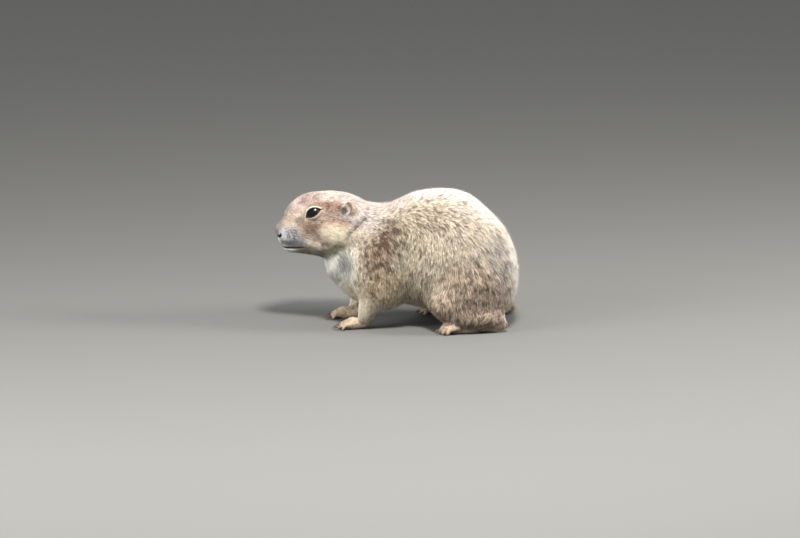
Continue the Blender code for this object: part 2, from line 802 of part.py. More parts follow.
def build():
    body = join_forms("body", body_forms(HELPERS), HELPERS)
    blend(body, BLEND_VOXEL, BODY_SMOOTHING)
    coarse = reduced_copy(body, "coarse", COARSE_TRIANGLES, HELPERS)
    fine = reduced_copy(body, "fine", FINE_TRIANGLES, HELPERS)
    for room in make_feet(PARTS):
        cut_away(coarse, room, grow=0)
    tail = make_tail(PARTS)
    cut_away(coarse, tail)
    boolean(coarse, below_floor(GAP), "DIFFERENCE")
    cutters = leg_cutters(HELPERS)
    for name, cutter in cutters.items():
        part_off(coarse, cutter, name, PARTS)
    for cutter in cutters.values():
        cut_away(coarse, cutter)

    before_head_cut, after_head_cut = two_sides("head_cut", HEAD_CUT[0], cut_normal(HEAD_CUT[1]))
    before_neck_cut, after_neck_cut = two_sides("neck_cut", NECK_CUT[0], cut_normal(NECK_CUT[1]))
    head = part_off(fine, before_head_cut, "head", PARTS)
    neck = part_off(coarse, after_head_cut, "neck", PARTS)
    boolean(neck, before_neck_cut, "INTERSECT")
    part_off(coarse, after_neck_cut, "torso", PARTS)

    make_ears(head, HELPERS)
    mouth = mouth_cutter(head, HELPERS)
    boolean(head, mouth, "DIFFERENCE")
    make_nose(head, HELPERS)
    add_eyes(head, HELPERS)

    before_tail_cut, after_tail_cut = two_sides("tail_cut", TAIL_TIP_PLACE, TAIL_TIP_AHEAD)
    part_off(tail, after_tail_cut, "tail_tip", PARTS)
    boolean(tail, before_tail_cut, "INTERSECT")

    for obj in list(HELPERS.objects):
        bpy.data.objects.remove(obj)
    for obj in PARTS.objects:
        tidy_mesh(obj)
        paint(obj)
    centre_on_floor(PARTS.objects)


clear_scene()
PARTS = new_collection("prairie_dog")
HELPERS = new_collection("helpers", hidden=True)
build()
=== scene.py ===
"""The looks of a black-tailed prairie dog crouching on all four feet, life size.

Metres, +Z up. The animal faces -X, its left side is at -Y, and it stands on the floor at z = 0.
One skin replaces the flesh. It lies under the reach of the coat, and solid tufts grow out of it.
The tables give places in millimetres: ahead, out from the midline and up, for both sides at once.
"""

import math
from contextlib import contextmanager
from types import SimpleNamespace
import bmesh
import bpy
import numpy as np
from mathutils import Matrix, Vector, noise
from mathutils.bvhtree import BVHTree
from mathutils.kdtree import KDTree


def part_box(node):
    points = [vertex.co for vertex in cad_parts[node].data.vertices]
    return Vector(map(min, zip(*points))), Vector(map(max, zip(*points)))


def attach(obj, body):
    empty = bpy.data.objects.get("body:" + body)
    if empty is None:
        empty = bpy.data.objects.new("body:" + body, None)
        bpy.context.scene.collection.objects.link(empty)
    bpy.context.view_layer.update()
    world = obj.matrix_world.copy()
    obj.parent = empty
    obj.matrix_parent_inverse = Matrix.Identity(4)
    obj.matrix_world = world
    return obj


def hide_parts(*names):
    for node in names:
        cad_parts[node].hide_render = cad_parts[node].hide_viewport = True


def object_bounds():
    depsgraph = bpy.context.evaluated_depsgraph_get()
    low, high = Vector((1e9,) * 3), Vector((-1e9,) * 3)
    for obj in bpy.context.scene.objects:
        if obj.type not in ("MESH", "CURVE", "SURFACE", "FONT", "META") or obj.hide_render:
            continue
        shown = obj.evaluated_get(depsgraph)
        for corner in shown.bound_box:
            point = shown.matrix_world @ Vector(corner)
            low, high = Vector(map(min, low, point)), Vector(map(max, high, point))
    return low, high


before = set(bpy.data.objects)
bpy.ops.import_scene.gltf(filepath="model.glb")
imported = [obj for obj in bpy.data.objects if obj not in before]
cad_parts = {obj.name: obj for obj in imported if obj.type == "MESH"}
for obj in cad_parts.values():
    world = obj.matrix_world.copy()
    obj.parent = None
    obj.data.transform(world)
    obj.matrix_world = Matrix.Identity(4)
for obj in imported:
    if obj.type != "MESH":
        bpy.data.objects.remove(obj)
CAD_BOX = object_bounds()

MM = 0.001

# The camera stands level with the animal's left side and looks down on it a little.
PHOTO_WIDTH = 800
METRES_PER_PIXEL = 0.000852
CAMERA_TILT = math.radians(10)
LENS = 200
SENSOR = 36
NOSE_PIXEL_X = 275.5
AIM_PIXEL_X = 400
AIM_HEIGHT = 0.0474

SIDES = (("left", -1), ("right", 1))
EYES = ("eye_left", "eye_right")
EARS = ("ear_left", "ear_right")
TAIL = ("tail", "tail_tip")
PAWS = ("forepaw_left", "forepaw_right", "hindfoot_left", "hindfoot_right")
LEGS = ("foreleg_left", "foreleg_right", "hindleg_left", "hindleg_right")
FLESH = ("head", "neck", "torso", "nose") + EARS + TAIL + LEGS + PAWS


def middle_of(node):
    low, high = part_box(node)
    return (low + high) / 2


EYE_CENTRES = {side: middle_of("eye_" + name) for name, side in SIDES}
EYE_RADIUS = (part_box("eye_left")[1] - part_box("eye_left")[0]).x / 2
MIDLINE = (EYE_CENTRES[-1].y + EYE_CENTRES[1].y) / 2
NOSE_TIP = CAD_BOX[0][0]


def metres(millimetres):
    return np.array(millimetres) / 1000


def mirrored(point, side):
    """A place given ahead, out from the midline and up, on one side of the body."""
    return Vector((point[0], MIDLINE + side * point[1], point[2]))


def mirrored_way(way, side):
    return Vector((way[0], way[1] * side, way[2]))


def folded(points):
    """The places as ahead, out from the midline and up."""
    made = points.copy()
    made[:, 1] = np.abs(points[:, 1] - MIDLINE)
    return made


def smoothstep(low, high, value):
    t = np.clip((value - low) / (high - low), 0.0, 1.0)
    return t * t * (3 - 2 * t)


def bell(value, width):
    return np.exp(-((value / width) ** 2))


def lengths(vectors):
    return np.linalg.norm(vectors, axis=-1)


def unit(vectors):
    return vectors / np.maximum(lengths(vectors)[..., None], 1e-12)


def laid_flat(ways, normals):
    """The ways turned to lie along a surface."""
    return unit(ways - normals * (ways * normals).sum(axis=1, keepdims=True))


def from_line(spots, line):
    """Distance of each flat spot from a broken line."""
    best = np.full(len(spots), np.inf)
    for start, way in zip(line[:-1], np.diff(line, axis=0)):
        share = np.clip((spots - start) @ way / (way @ way), 0, 1)
        best = np.minimum(best, lengths(spots - start - share[:, None] * way))
    return best


def srgb(red, green, blue):
    """A colour given as screen values 0 to 255, made linear."""
    shares = [value / 255 for value in (red, green, blue)]
    return tuple(s / 12.92 if s <= 0.04045 else ((s + 0.055) / 1.055) ** 2.4 for s in shares)


def lerp(values, colour, share):
    return values + (np.array(colour) - values) * share[:, None]


# Objects and meshes

def link(name, data):
    made = bpy.data.objects.new(name, data)
    bpy.context.scene.collection.objects.link(made)
    return made


def finished(piece, material, slot):
    """Gives a piece its material, shades it smooth, and lets it ride with the body."""
    piece.data.materials.clear()
    piece.data.materials.append(material)
    piece.data.shade_smooth()
    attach(piece, "root")
    return piece


@contextmanager
def edited(mesh):
    """The mesh as a bmesh to work on, written back afterwards."""
    work = bmesh.new()
    work.from_mesh(mesh)
    yield work
    work.to_mesh(mesh)
    work.free()


def modified(obj, kind, **settings):
    """Applies one modifier with its settings."""
    modifier = obj.modifiers.new(kind.lower(), kind)
    for name, value in settings.items():
        setattr(modifier, name, value)
    graph = bpy.context.evaluated_depsgraph_get()
    mesh = bpy.data.meshes.new_from_object(obj.evaluated_get(graph))
    obj.modifiers.clear()
    obj.data = mesh


def rows_of(items, field, size, kind=float):
    """One field of a mesh's vertices, edges, triangles or corners as the rows of an array."""
    values = np.empty(len(items) * size, dtype=kind)
    items.foreach_get(field, values)
    return values.reshape(-1, size)


def points_of(mesh):
    return rows_of(mesh.vertices, "co", 3)


def normals_of(mesh):
    return rows_of(mesh.vertices, "normal", 3)


def triangles_of(mesh):
    mesh.calc_loop_triangles()
    return rows_of(mesh.loop_triangles, "vertices", 3, np.int64)


def set_points(mesh, points):
    mesh.vertices.foreach_set("co", np.ascontiguousarray(points, dtype=np.float32).ravel())
    mesh.update()


def tree_of(points, corners):
    return BVHTree.FromPolygons([Vector(p) for p in points], corners.tolist())


ATTRIBUTE_FIELDS = {"FLOAT": "value", "FLOAT_VECTOR": "vector", "FLOAT_COLOR": "color"}


def add_attribute(mesh, name, kind, values):
    if kind == "FLOAT_COLOR":
        values = np.concatenate([values, np.ones((len(values), 1))], axis=1)
    layer = mesh.attributes.new(name, kind, "POINT")
    flat = np.ascontiguousarray(values, dtype=np.float32).ravel()
    layer.data.foreach_set(ATTRIBUTE_FIELDS[kind], flat)


# Materials

class Shading:
    """A material in the making. Each node is added with its settings, values and joins at once."""

    def __init__(self, name):
        self.material = bpy.data.materials.new(name)
        self.material.use_nodes = True
        self.tree = self.material.node_tree

    def fill(self, node, inputs):
        for name, value in inputs.items():
            if isinstance(value, bpy.types.NodeSocket):
                self.tree.links.new(value, node.inputs[name])
            else:
                node.inputs[name].default_value = value

    def add(self, kind, inputs, **settings):
        node = self.tree.nodes.new("ShaderNode" + kind)
        for name, value in settings.items():
            setattr(node, name, value)
        self.fill(node, inputs)
        return node

    def geometry(self, output):
        return self.add("NewGeometry", {}).outputs[output]

    def attribute(self, name, output):
        return self.add("Attribute", {}, attribute_name=name).outputs[output]

    def noise(self, scale, detail):
        place = self.geometry("Position")
        return self.add("TexNoise", {"Scale": scale, "Detail": detail, "Vector": place}).outputs["Fac"]

    def spread(self, value, low, high):
        return self.add("MapRange", {"To Min": low, "To Max": high, "Value": value}).outputs[0]

    def brightness(self, colour, factor, low, high):
        """The colour made darker or brighter by a factor read between two levels."""
        scale = self.spread(factor, low, high)
        return self.add("VectorMath", {0: colour, "Scale": scale}, operation="SCALE").outputs[0]

    def finish(self, inputs):
        self.fill(self.tree.nodes["Principled BSDF"], inputs)
        return self.material


def coat_material():
    make = Shading("coat")
    colour = make.attribute("coat_colour", "Color")
    colour = make.brightness(colour, make.noise(1400, 2), 0.80, 1.20)
    colour = make.brightness(colour, make.noise(90, 3), 0.86, 1.14)
    # A normal between the tuft's own and the skin's under it, so that fur shades as one form.
    under = make.attribute("skin_normal", "Vector")
    blend = make.add("Mix", {"Factor": 0.62, "A": make.geometry("Normal"), "B": under}, data_type="VECTOR")
    normal = make.add("VectorMath", {0: blend.outputs["Result"]}, operation="NORMALIZE").outputs[0]
    return make.finish({
        "Base Color": colour, "Normal": normal, "Roughness": 0.72, "Specular IOR Level": 0.28,
        "Sheen Weight": 0.12, "Sheen Roughness": 0.6,
    })


def skin_material():
    make = Shading("skin")
    hairs = make.noise(1900, 4)
    colour = make.attribute("coat_colour", "Color")
    colour = make.brightness(colour, hairs, 0.55, 1.45)
    colour = make.brightness(colour, make.noise(260, 3), 0.85, 1.15)
    bump = make.add("Bump", {"Strength": 0.5, "Distance": 0.0004, "Height": hairs})
    return make.finish({
        "Base Color": colour, "Roughness": make.spread(make.attribute("bare", "Fac"), 0.86, 0.42),
        "Normal": bump.outputs["Normal"], "Specular IOR Level": 0.35,
    })


# Colours of the eye from the middle of the pupil, at 0, to the rim of the iris.
EYE_STOPS = (
    (0.0, (4, 4, 4)), (0.34, (5, 4, 4)), (0.42, (30, 19, 13)), (0.62, (22, 14, 11)), (0.72, (7, 5, 5)),
)


def eye_material():
    """A nearly black brown iris round a black pupil, wet all over."""
    make = Shading("eye")
    ramp = make.add("ValToRGB", {"Fac": make.attribute("from_pupil", "Fac")})
    stops = ramp.color_ramp.elements
    stops.remove(stops[1])
    stops[0].color = (*srgb(*EYE_STOPS[0][1]), 1)
    for place, colour in EYE_STOPS[1:]:
        stops.new(place).color = (*srgb(*colour), 1)
    return make.finish({
        "Base Color": ramp.outputs["Color"], "Roughness": 0.30, "Specular IOR Level": 0.12,
        "Coat Weight": 0.55, "Coat Roughness": 0.04,
    })


def horn_material(name, dark, pale, roughness):
    """Horn or stiff hair, darker at the root, with a faint grain."""
    make = Shading(name)
    ends = {"A": (*dark, 1), "B": (*pale, 1), "Factor": make.attribute("along", "Fac")}
    mix = make.add("Mix", ends, data_type="RGBA").outputs["Result"]
    colour = make.brightness(mix, make.noise(2200, 3), 0.75, 1.25)
    return make.finish({"Base Color": colour, "Roughness": roughness})


# Camera, floor and light

FLOOR_COLOUR = srgb(106, 106, 103)
LAMPS_AIM = Vector((0, MIDLINE, 0.05))
# Place, size, power and colour of each lamp.
LAMPS = {
    "key": ((0.10, -0.88, 1.08), 0.26, 32, (1.0, 0.985, 0.965)),
    "front": ((-0.98, -0.70, 0.36), 0.8, 19, (1.0, 0.995, 0.985)),
    "back": ((1.30, -0.20, 0.66), 0.5, 30, (1.0, 0.985, 0.97)),
}


def make_camera():
    ahead = NOSE_TIP + (AIM_PIXEL_X - NOSE_PIXEL_X) * METRES_PER_PIXEL
    distance = PHOTO_WIDTH * METRES_PER_PIXEL * LENS / SENSOR
    data = bpy.data.cameras.new("camera")
    data.lens = LENS
    data.sensor_width = SENSOR
    data.clip_start = 0.05
    data.clip_end = 60
    camera = link("camera", data)
    back = Vector((0, -math.cos(CAMERA_TILT), math.sin(CAMERA_TILT)))
    camera.location = Vector((ahead, MIDLINE, AIM_HEIGHT)) + back * distance
    camera.rotation_euler = (math.pi / 2 - CAMERA_TILT, 0, 0)
    bpy.context.scene.camera = camera


def make_studio():
    """A pale floor under a high sun, with soft fill from all round."""
    floor = link("floor", bpy.data.meshes.new("floor"))
    with edited(floor.data) as work:
        bmesh.ops.create_circle(work, cap_ends=True, radius=40, segments=64)
    shade = {"Base Color": (*FLOOR_COLOUR, 1), "Roughness": 0.9}
    floor.data.materials.append(Shading("floor").finish(shade))
    for name, (place, size, power, colour) in LAMPS.items():
        data = bpy.data.lights.new(name, "AREA")
        data.shape = "DISK"
        data.size = size
        data.energy = power
        data.color = colour
        lamp = link(name, data)
        lamp.location = place
        lamp.rotation_euler = (LAMPS_AIM - Vector(place)).to_track_quat("-Z", "Y").to_euler()
        lamp.visible_glossy = name == "key"
    world = bpy.data.worlds.new("studio")
    world.use_nodes = True
    background = world.node_tree.nodes["Background"]
    background.inputs["Color"].default_value = (0.91, 0.91, 0.91, 1)
    background.inputs["Strength"].default_value = 0.56
    bpy.context.scene.world = world
    bpy.context.scene.view_settings.view_transform = "Standard"


# The lie and size of the coat

# Place, way the hairs lie, then in millimetres the depth of the coat over the skin, and the length
# and width of a hair, and last the hairs to a square millimetre.
GUIDES = (
    ((-100, 3, 87), (0.8, 0.1, 0.6), 0.35, 1.4, 0.16, 6),
    ((-90, 4, 98.5), (0.85, 0.05, 0.55), 0.5, 2, 0.18, 5),
    ((-78, 5, 107.5), (0.95, 0.05, 0.3), 0.75, 2.8, 0.22, 4),
    ((-60, 5, 114), (1, 0, 0), 1.15, 4.2, 0.26, 3.3),
    ((-38, 6, 111), (1, 0, -0.25), 1.8, 6, 0.3, 2.4),
    ((-96.5, 7, 79), (1, 0.35, -0.05), 0.35, 1.4, 0.16, 6),
    ((-88, 11, 77), (1, 0.3, -0.25), 0.5, 2, 0.18, 5),
    ((-93, 8, 71.5), (0.8, 0.2, -0.6), 0.4, 1.7, 0.17, 5.5),
    ((-83, 10, 71.5), (1, 0.1, -0.4), 0.6, 2.4, 0.2, 4.4),
    ((-93, 3, 65), (1, 0, -0.15), 0.5, 2, 0.18, 5),
    ((-78, 9, 63.5), (1, 0.05, -0.15), 0.8, 3.2, 0.23, 3.8),
    ((-85, 11, 90), (0.95, 0.15, 0.1), 0.55, 2.2, 0.19, 4.6),
    ((-79, 12, 99), (0.9, 0.1, 0.35), 0.55, 2.2, 0.19, 4.6),
    ((-70, 12, 110), (1, 0.1, 0.2), 0.75, 3, 0.22, 4),
    ((-70, 18, 88), (1, 0.1, -0.3), 0.8, 3, 0.22, 4),
    ((-57, 19, 102), (1, 0.1, -0.1), 0.95, 3.6, 0.24, 3.7),
    ((-52, 22, 86), (1, 0.05, -0.4), 1.4, 5, 0.28, 2.9),
    ((-56, 18, 69), (1, 0, -0.25), 1.4, 5, 0.28, 2.9),
    ((-60, 2, 58), (1, 0, -0.25), 1.5, 5.2, 0.28, 2.7),
    ((-30, 28, 86), (0.8, 0.1, -0.6), 2.2, 6.2, 0.3, 2.1),
    ((-40, 24, 62), (0.55, 0.05, -0.85), 2.5, 8, 0.32, 1.8),
    ((-56, 5, 47), (0.25, 0, -1), 2.8, 8.5, 0.34, 1.7),
    ((-38, 10, 24), (0.9, 0, -0.45), 2.5, 8, 0.34, 1.5),
    ((-8, 6, 105), (1, 0.05, 0), 2.8, 7.4, 0.34, 1.8),
    ((-10, 35, 82), (0.62, 0.1, -0.8), 3, 7.4, 0.34, 1.8),
    ((-8, 40, 62), (0.22, 0.1, -1), 3, 9, 0.34, 1.8),
    ((-12, 39, 43), (0.05, 0.05, -1), 2.6, 8.5, 0.34, 1.8),
    ((30, 6, 115), (1, 0.15, -0.02), 3.2, 7.6, 0.36, 1.6),
    ((30, 32, 101), (0.78, 0.3, -0.6), 3.3, 7.6, 0.36, 1.6),
    ((8, 48, 72), (-0.02, 0.1, -1), 3.4, 9.5, 0.36, 1.6),
    ((18, 51, 56), (-0.16, 0.05, -1), 3.5, 10, 0.36, 1.6),
    ((38, 52, 74), (0.12, 0.12, -1), 3.5, 10, 0.36, 1.6),
    ((15, 47, 33), (-0.08, 0, -1), 3.5, 10.5, 0.36, 1.6),
    ((15, 15, 14), (1, 0, -0.05), 2.5, 8, 0.36, 1.1),
    ((60, 36, 92), (0.72, 0.3, -0.7), 3.4, 8, 0.36, 1.6),
    ((68, 6, 106), (0.9, 0.15, -0.5), 3.3, 8, 0.36, 1.6),
    ((95, 10, 76), (0.35, 0.1, -1), 3.2, 9.5, 0.36, 1.6),
    ((85, 35, 68), (0.42, 0.2, -0.9), 3.3, 10, 0.36, 1.6),
    ((60, 50, 62), (0.28, 0.15, -0.95), 3.4, 10, 0.36, 1.6),
    ((56, 57, 29), (0.12, 0, -1), 2.8, 9, 0.34, 1.7),
    ((35, 54, 25), (-0.02, 0, -1), 2.2, 7, 0.32, 1.8),
    ((101, 15, 40), (0.05, 0, -1), 2.6, 8, 0.36, 1.6),
    ((-12, 39, 30), (-0.1, 0, -1), 2, 6.6, 0.3, 2.2),
    ((-22, 30, 23), (-0.2, 0, -1), 1.4, 4.6, 0.26, 2.6),
    ((-26.5, 26.2, 12), (-0.5, 0, -0.85), 0.7, 2.6, 0.2, 3.4),
    ((76, 40, 14), (-0.3, 0, -0.9), 1, 3.6, 0.22, 3),
)
GUIDE_REACH = 2.6
GUIDE_CORE = 0.002
AT_ONCE = 20000
# The same for the parts that keep their own coat: paws along the toes, ears up their backs, the tail.
PAW_COAT = ((-1, 0, -0.12), 0.5, 2.6, 0.2, 4.2)
EAR_COAT = ((0.35, 0.45, 0.85), 0.4, 2.6, 0.19, 5)
TAIL_COAT = (2.8, 11, 0.4, 2.3)

# The tail leaves the rump low down and curls round the right foot: places along its middle.
TAIL_LINE = metres((
    (82.8, -9, 24), (90.3, 1, 15), (92.3, 17, 9.6), (90.8, 32, 7.8),
    (83.8, 47, 7.4), (71.8, 57, 7), (57.8, 62, 5.8), (48.8, 63.5, 4),
))


class CoatFields:
    """What the coat does at each of many points: lie, depth, hair length, width and density."""

    def __init__(self, points, normals, regions):
        guides = [(guide, side) for guide in GUIDES for _, side in SIDES]
        places = np.array([mirrored(metres(guide[0]), side) for guide, side in guides])
        ways = np.array([mirrored_way(guide[1], side).normalized() for guide, side in guides])
        sizes = np.array([guide[2:] for guide, _ in guides])
        self.lie = np.empty((len(points), 3))
        self.sizes = np.empty((len(points), 4))
        for start in range(0, len(points), AT_ONCE):
            part = slice(start, start + AT_ONCE)
            pull = 1.0 / (lengths(points[part, None] - places) + GUIDE_CORE) ** (GUIDE_REACH + 1)
            pull /= pull.sum(axis=1, keepdims=True)
            self.lie[part] = pull @ ways
            self.sizes[part] = pull @ sizes
        ear_way = np.tile(EAR_COAT[0], (len(points), 1))
        ear_way[:, 1] *= np.sign(points[:, 1] - MIDLINE)
        nearest = np.argmin(lengths(points[:, None] - TAIL_LINE), axis=1)
        tail_way = unit(np.gradient(TAIL_LINE, axis=0))[nearest] + 0.12 * normals
        self.mix(regions["paw"], np.array(PAW_COAT[0]), PAW_COAT[1:])
        self.mix(regions["ear"], ear_way, EAR_COAT[1:])
        self.mix(regions["tail"], tail_way, TAIL_COAT)
        self.lie = laid_flat(self.lie, normals)
        depth, length, width, density = self.sizes.T
        self.depth, self.length, self.width = depth * MM, length * MM, width * MM
        self.density = density / MM**2

    def mix(self, share, way, sizes):
        share = share[:, None]
        self.lie = self.lie * (1 - share) + way * share
        self.sizes = self.sizes * (1 - share) + np.array(sizes) * share


# The skin

SKIN_VOXEL = 0.0007
CLOSE_GAPS = 0.00026
BODY_SMOOTHING = 26
BODY_KEPT = 0.14
COARSE_LEVELS = 10

# The nodes of each region of the coat, and how many times its mask is evened out.
REGIONS = {"head": (("head", "nose"), 10), "ear": (EARS, 3), "paw": (PAWS, 6), "tail": (TAIL, 10)}

# Feet, as the solids have them: the heel's place ahead and out, the heading in degrees, the length
# and width, the toes, the claws' length, and how far each side steps ahead. Each toe, from the inner
# side, has its share of the width, its length and its fan angle.
FORE_TOES = ((-0.36, 0.0052, -16), (-0.13, 0.0066, -5), (0.12, 0.0066, 5), (0.36, 0.0054, 17))
HIND_TOES = (
    (-0.38, 0.0078, -15), (-0.20, 0.0108, -6), (0.0, 0.0118, 0), (0.20, 0.0106, 7), (0.38, 0.0076, 17),
)
FEET = {
    "forepaw": ((-0.0257, 0.0240), 4, 0.01872, 0.0155, FORE_TOES, 0.0075, {-1: 0.0, 1: 0.008}),
    "hindfoot": ((0.0888, 0.0400), 7, 0.04988, 0.0185, HIND_TOES, 0.0055, {-1: 0.0, 1: 0.016}),
}


def joined_flesh():
    """All the flesh and the eyes in one mesh, grown by less than a hair so that the gaps close."""
    skin = link("skin", bpy.data.meshes.new("skin"))
    with edited(skin.data) as work:
        for name in FLESH + EYES:
            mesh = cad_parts[name].data.copy()
            with edited(mesh) as part:
                bmesh.ops.remove_doubles(part, verts=part.verts, dist=1e-6)
                bmesh.ops.recalc_face_normals(part, faces=part.faces)
                part.normal_update()
                for vert in part.verts:
                    vert.co += vert.normal * CLOSE_GAPS
            work.from_mesh(mesh)
            bpy.data.meshes.remove(mesh)
    return skin


def keep_largest(mesh):
    """Takes away what hangs together with the largest surface nowhere, such as closed hollows."""
    with edited(mesh) as work:
        seen, islands = set(), []
        for start in work.verts:
            if start in seen:
                continue
            seen.add(start)
            stack, island = [start], []
            while stack:
                vert = stack.pop()
                island.append(vert)
                others = {edge.other_vert(vert) for edge in vert.link_edges} - seen
                seen |= others
                stack += others
            islands.append(island)
        largest = max(islands, key=len)
        loose = [vert for island in islands if island is not largest for vert in island]
        bmesh.ops.delete(work, geom=loose, context="VERTS")


class Relaxer:
    """Evens values out over the edges of a mesh."""

    def __init__(self, mesh):
        self.edges = rows_of(mesh.edges, "vertices", 2, np.int64)
        self.count = len(mesh.vertices)
        self.degree = np.maximum(np.bincount(self.edges.ravel(), minlength=self.count), 1)

    def average(self, values):
        a, b = self.edges.T
        total = np.bincount(a, values[b], self.count) + np.bincount(b, values[a], self.count)
        return total / self.degree

    def relax(self, values, rate, times):
        rows = values.reshape(len(values), -1).copy()
        for _ in range(times):
            means = np.stack([self.average(column) for column in rows.T], axis=1)
            rows += (means - rows) * np.reshape(rate, (-1, 1))
        return rows.reshape(values.shape)


def node_finder():
    """Tells which node of the frame lies nearest to each of many points."""
    verts, faces, owners = [], [], []
    for number, name in enumerate(FLESH):
        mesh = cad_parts[name].data
        base = len(verts)
        verts += [v.co.copy() for v in mesh.vertices]
        faces += [[base + v for v in polygon.vertices] for polygon in mesh.polygons]
        owners += [number] * len(mesh.polygons)
    tree = BVHTree.FromPolygons(verts, faces)
    owners = np.array(owners)

    def find(points):
        return owners[[tree.find_nearest(p)[2] for p in points]]

    return find


def at_heel(points):
    """How near each point is to a hind foot's heel, which keeps the leg's coat."""
    place, _, length, _, _, _, steps = FEET["hindfoot"]
    step = np.where(points[:, 1] < MIDLINE, steps[-1], steps[1])
    ahead = place[0] - step - points[:, 0]
    return 1 - smoothstep(0.38 * length, 0.62 * length, ahead)


def region_shares(points, owner, relaxer):
    """Soft masks, 0 to 1, of the head, ears, paws and tail over the skin's points."""
    shares = {}
    for kind, (names, times) in REGIONS.items():
        members = np.isin(owner, [FLESH.index(name) for name in names])
        shares[kind] = relaxer.relax(members.astype(float), 0.6, times)
    shares["paw"] *= 1 - 0.8 * at_heel(points)
    return shares


def fine_share(regions, ear=1.0, paw=1.0, head=1.0):
    """How far each place belongs to the parts whose coat is fine: ears, paws and head."""
    share = ear * regions["ear"] + paw * regions["paw"] + head * regions["head"]
    return np.clip(share, 0, 1)


def make_skin(find_node):
    skin = joined_flesh()
    modified(skin, "REMESH", mode="VOXEL", voxel_size=SKIN_VOXEL)
    keep_largest(skin.data)
    relaxer = Relaxer(skin.data)
    points = points_of(skin.data)
    regions = region_shares(points, find_node(points), relaxer)
    detail = fine_share(regions, ear=1.5, head=0.55)
    points = relaxer.relax(points, 0.5 * (1 - 0.85 * detail), BODY_SMOOTHING)
    set_points(skin.data, points)
    fields = CoatFields(points, normals_of(skin.data), regions)
    depth = relaxer.relax(fields.depth, 0.5, 8)
    inward = unit(relaxer.relax(normals_of(skin.data), 0.5, 6))
    points -= inward * depth[:, None]
    points = relaxer.relax(points, 0.5 * (1 - detail), 6)
    set_points(skin.data, points)
    lighten(skin, regions)
    return skin


def lighten(skin, regions):
    """Fewer, larger faces under the body's coat, and all of them on head, ears and paws."""
    keep = fine_share(regions, ear=2, paw=1.6, head=2)
    group = skin.vertex_groups.new(name="coarse")
    levels = np.round((1 - keep) * COARSE_LEVELS)
    for level in range(COARSE_LEVELS + 1):
        group.add(np.nonzero(levels == level)[0].tolist(), level / COARSE_LEVELS, "REPLACE")
    kept = BODY_KEPT + (1 - BODY_KEPT) * float(keep.mean())
    modified(skin, "DECIMATE", vertex_group="coarse", vertex_group_factor=1.0, ratio=kept)
    skin.vertex_groups.clear()


# The eyes look out, ahead and up, and their corners lie on a slope that drops to the front.
EYE_LOOK = (-0.26, 0.94, 0.20)
EYE_TILT = math.radians(27)
EYE_HALF_LENGTH = 6.95 * MM
LID_RISE = 4.2 * MM
LID_DROP = 2.8 * MM
OPENING_DROP = 0.7 * MM
LID_THICKNESS = 0.5 * MM
UPPER_ARCH = 1.28
LOWER_ARCH = 1.05
CANTHUS = 1.5 * MM
CANTHUS_START = 0.6 * MM
EYE_REACH = 16 * MM
# The ball is wider than the solid's and set a little lower and deeper, so that its dome is flatter.
BALL_RADIUS = EYE_RADIUS * 1.15
BALL_SHIFT = (0.4 * MM, 0.0, -2.0 * MM)
BALL_BULGE = 0.7 * MM


class EyeFrame:
    """Axes of one eye: out of the head, along towards the front corner, and up across it."""

    def __init__(self, side):
        out = mirrored_way(EYE_LOOK, side).normalized()
        level = (Vector((-1, 0, 0)) - out * -out.x).normalized()
        upright = out.cross(level)
        if upright.z < 0:
            upright = -upright
        sunk = out * (BALL_RADIUS - EYE_RADIUS - BALL_BULGE)
        self.centre = np.array(EYE_CENTRES[side] + Vector(BALL_SHIFT) - sunk)
        self.out = np.array(out)
        self.along = np.array(level * math.cos(EYE_TILT) - upright * math.sin(EYE_TILT))
        self.up = np.array(level * math.sin(EYE_TILT) + upright * math.cos(EYE_TILT))

    def local(self, points):
        apart = points - self.centre
        return apart @ self.along, apart @ self.up, apart @ self.out


def opening_edge(angle):
    """The place on the almond opening at an angle round it."""
    height, arch = (LID_RISE, UPPER_ARCH) if math.sin(angle) > 0 else (-LID_DROP, LOWER_ARCH)
    rise = height * abs(math.sin(angle)) ** (2 / arch)
    return math.cos(angle) * EYE_HALF_LENGTH, rise - OPENING_DROP


EYE_FRAMES = {side: EyeFrame(side) for _, side in SIDES}
OPENING = np.array([opening_edge(angle) for angle in np.linspace(0, 2 * math.pi, 97)])


def from_opening(a, b):
    """How far a place lies outside the almond opening, less than nothing inside it."""
    gap = np.full(len(a), 2 * EYE_REACH)
    near = np.hypot(a, b) < EYE_REACH
    spots = np.stack([a[near], b[near]], axis=1)
    rise = spots[:, 1] + OPENING_DROP
    height = np.where(rise > 0, LID_RISE, LID_DROP)
    arch = np.where(rise > 0, UPPER_ARCH, LOWER_ARCH)
    inside = (spots[:, 0] / EYE_HALF_LENGTH) ** 2 + (np.abs(rise) / height) ** arch < 1
    gap[near] = from_line(spots, OPENING) * np.where(inside, -1, 1)
    return gap


def round_eyes(points):
    """For each eye, how far each place lies along, up, outside the opening, and from its middle."""
    for eye in EYE_FRAMES.values():
        a, b, c = eye.local(points)
        yield a, b, from_opening(a, b), np.where(c > 0, np.hypot(a, b), np.inf)


def canthus(a, b):
    """The dark corners that run on a little past the opening."""
    run = np.clip((np.abs(a) - EYE_HALF_LENGTH + CANTHUS_START) / (CANTHUS + CANTHUS_START), 0, 2)
    half = 0.75 * MM * np.clip(1.15 - run, 0, 1)
    inside = 1 - smoothstep(half, half + 0.25 * MM, np.abs(b + OPENING_DROP))
    return (run > 0) * inside * (run < 1.1)


# The line between the lips runs round the muzzle at this height, and rises towards its corners.
MOUTH_CENTRE_X = -0.0767
MOUTH_HEIGHT = 0.0669
MOUTH_RISE = 0.0016
LIP_PEAK = 0.7 * MM
MOUTH_CORNER = math.radians(88)

